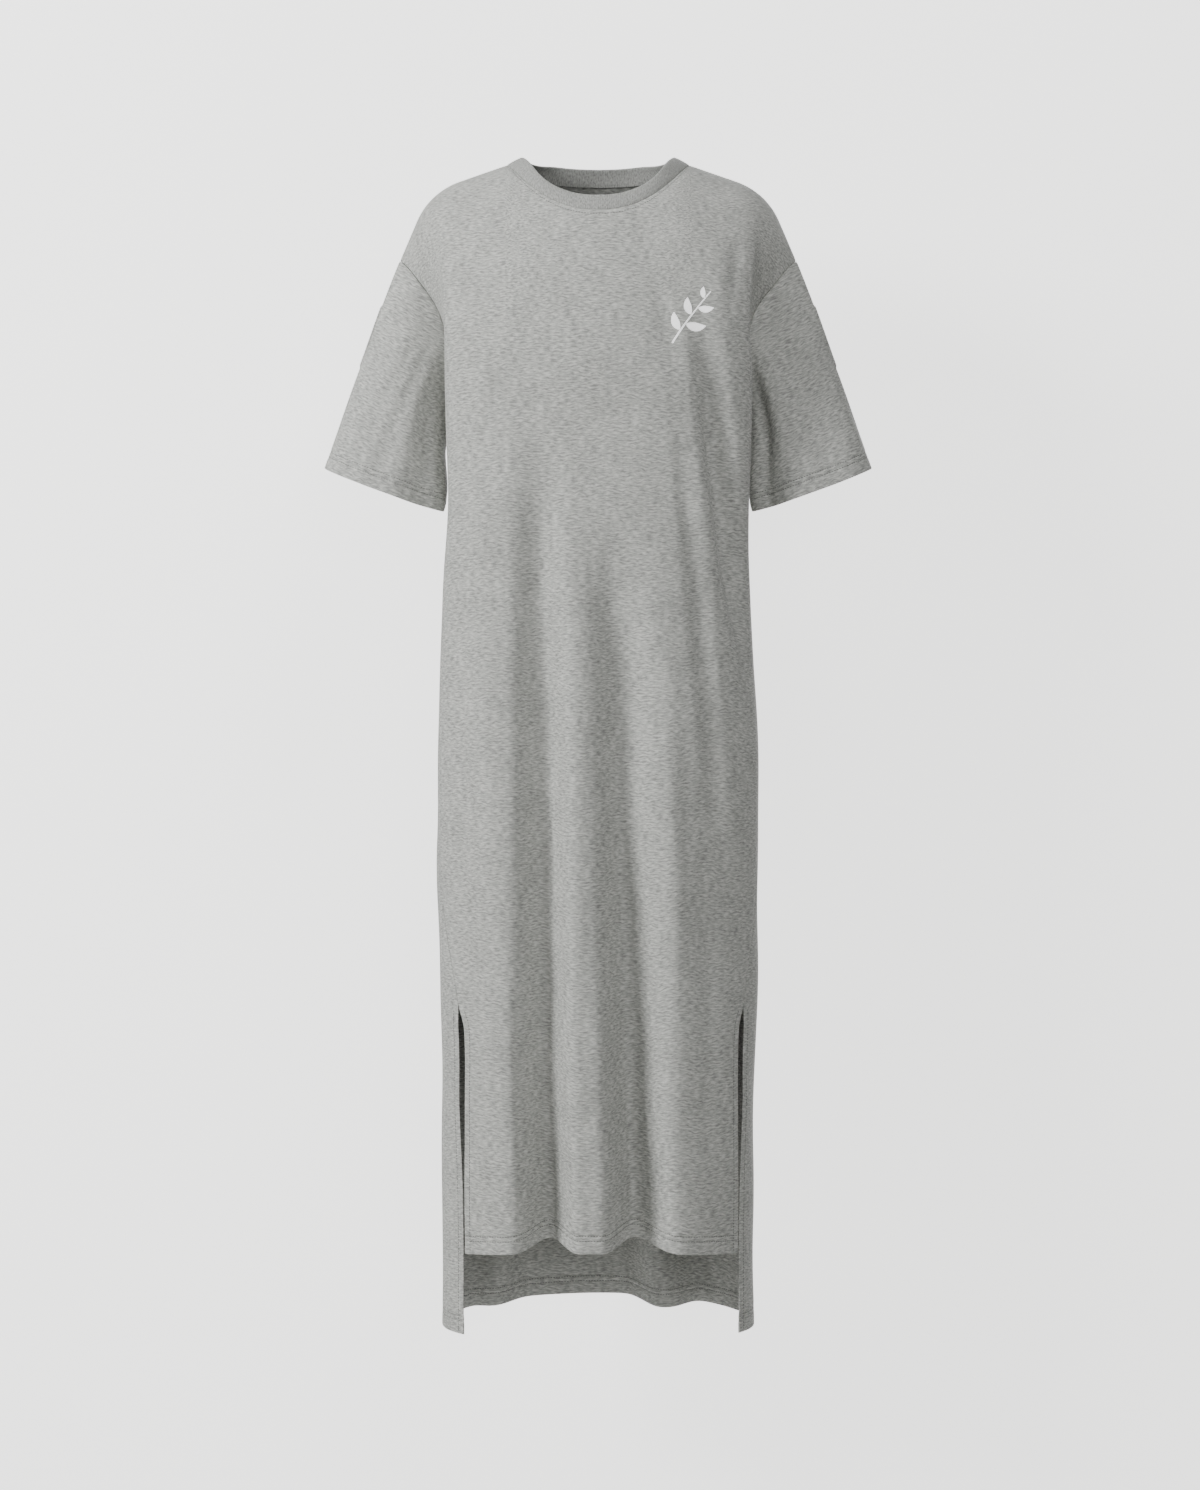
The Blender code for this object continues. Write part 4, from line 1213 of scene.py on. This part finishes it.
stageLook = {
    "backdropY": 0.21,
    "floorZ": -1.56,
    "backdropShade": "#e4e4e3",
    "floorShade": "#cfcfcd",
    "glowShade": "#f3f3f2",
    "glow": 2.1,  # what the paper's own lamps add, so that it stays pale behind the dress
    "world": "#f2f3f5",
    "worldStrength": 1.6,
}
# name, place, what it looks at, size in metres, watts
studioLights = (
    ("keySoftbox", (-2.6, -1.5, 0.85), (0.0, 0.0, -0.35), 1.2, 130),
    ("frontFill", (0.6, -3.6, 0.0), (0.0, 0.0, -0.6), 1.6, 28),
    ("topSoft", (0.6, -1.3, 1.7), (0.0, 0.0, -0.2), 1.0, 28),
    ("backSoftbox", (1.1, 2.8, 0.6), (0.0, 0.0, -0.5), 1.6, 80),
)


# Seamless paper, matt and plain. A one-sided sheet's back is clear, so that it doesn't stand before
# a camera behind the dress.
def makePaper(name, shade, glow, oneSided):
    material, tree, shader = newMaterial(name, {"Base Color": toLinear(shade), "Roughness": 1.0,
                                                "Specular IOR Level": 0.0,
                                                "Emission Color": toLinear(stageLook["glowShade"]),
                                                "Emission Strength": glow})
    if oneSided:
        behind = addNode(tree, "ShaderNodeNewGeometry").outputs["Backfacing"]
        clear = addNode(tree, "ShaderNodeBsdfTransparent")
        mix = addNode(tree, "ShaderNodeMixShader", {0: behind, 1: shader.outputs[0], 2: clear.outputs[0]})
        tree.links.new(mix.outputs[0], tree.nodes["Material Output"].inputs["Surface"])
    return material




wallY, floorZ = stageLook["backdropY"], stageLook["floorZ"]
wall = [(-4, wallY, floorZ), (4, wallY, floorZ), (4, wallY, 3), (-4, wallY, 3)]
ground = [(-5, -5, floorZ), (5, -5, floorZ), (5, 5, floorZ), (-5, 5, floorZ)]
backdrop = meshPiece("backdrop", wall, [(0, 1, 2, 3)], makePaper(
    "backdropPaper", stageLook["backdropShade"], stageLook["glow"], True), smooth=False)
floor = meshPiece("floor", ground, [(0, 1, 2, 3)], makePaper(
    "floorPaper", stageLook["floorShade"], 0.0, False), smooth=False)
backdrop.visible_diffuse = False  # its glow isn't a lamp for the cloth
backdrop.visible_shadow = False  # and it doesn't stand before the lamp behind it

for name, place, target, size, watts in studioLights:
    lamp = bpy.data.lights.new(name, "AREA")
    lamp.shape, lamp.size, lamp.energy = "DISK", size, watts
    light = addObject(name, lamp)
    light.location = place
    light.rotation_euler = (Vector(target) - Vector(place)).to_track_quat("-Z", "Y").to_euler()

world = bpy.data.worlds.new("softStudio")
world.use_nodes = True
world.node_tree.nodes["Background"].inputs["Color"].default_value = toLinear(stageLook["world"])
world.node_tree.nodes["Background"].inputs["Strength"].default_value = stageLook["worldStrength"]
for ray in ("diffuse", "glossy", "transmission", "scatter"):
    setattr(world.cycles_visibility, ray, False)  # it stands behind the scene and lights nothing
bpy.context.scene.world = world
print("stage and lights set")
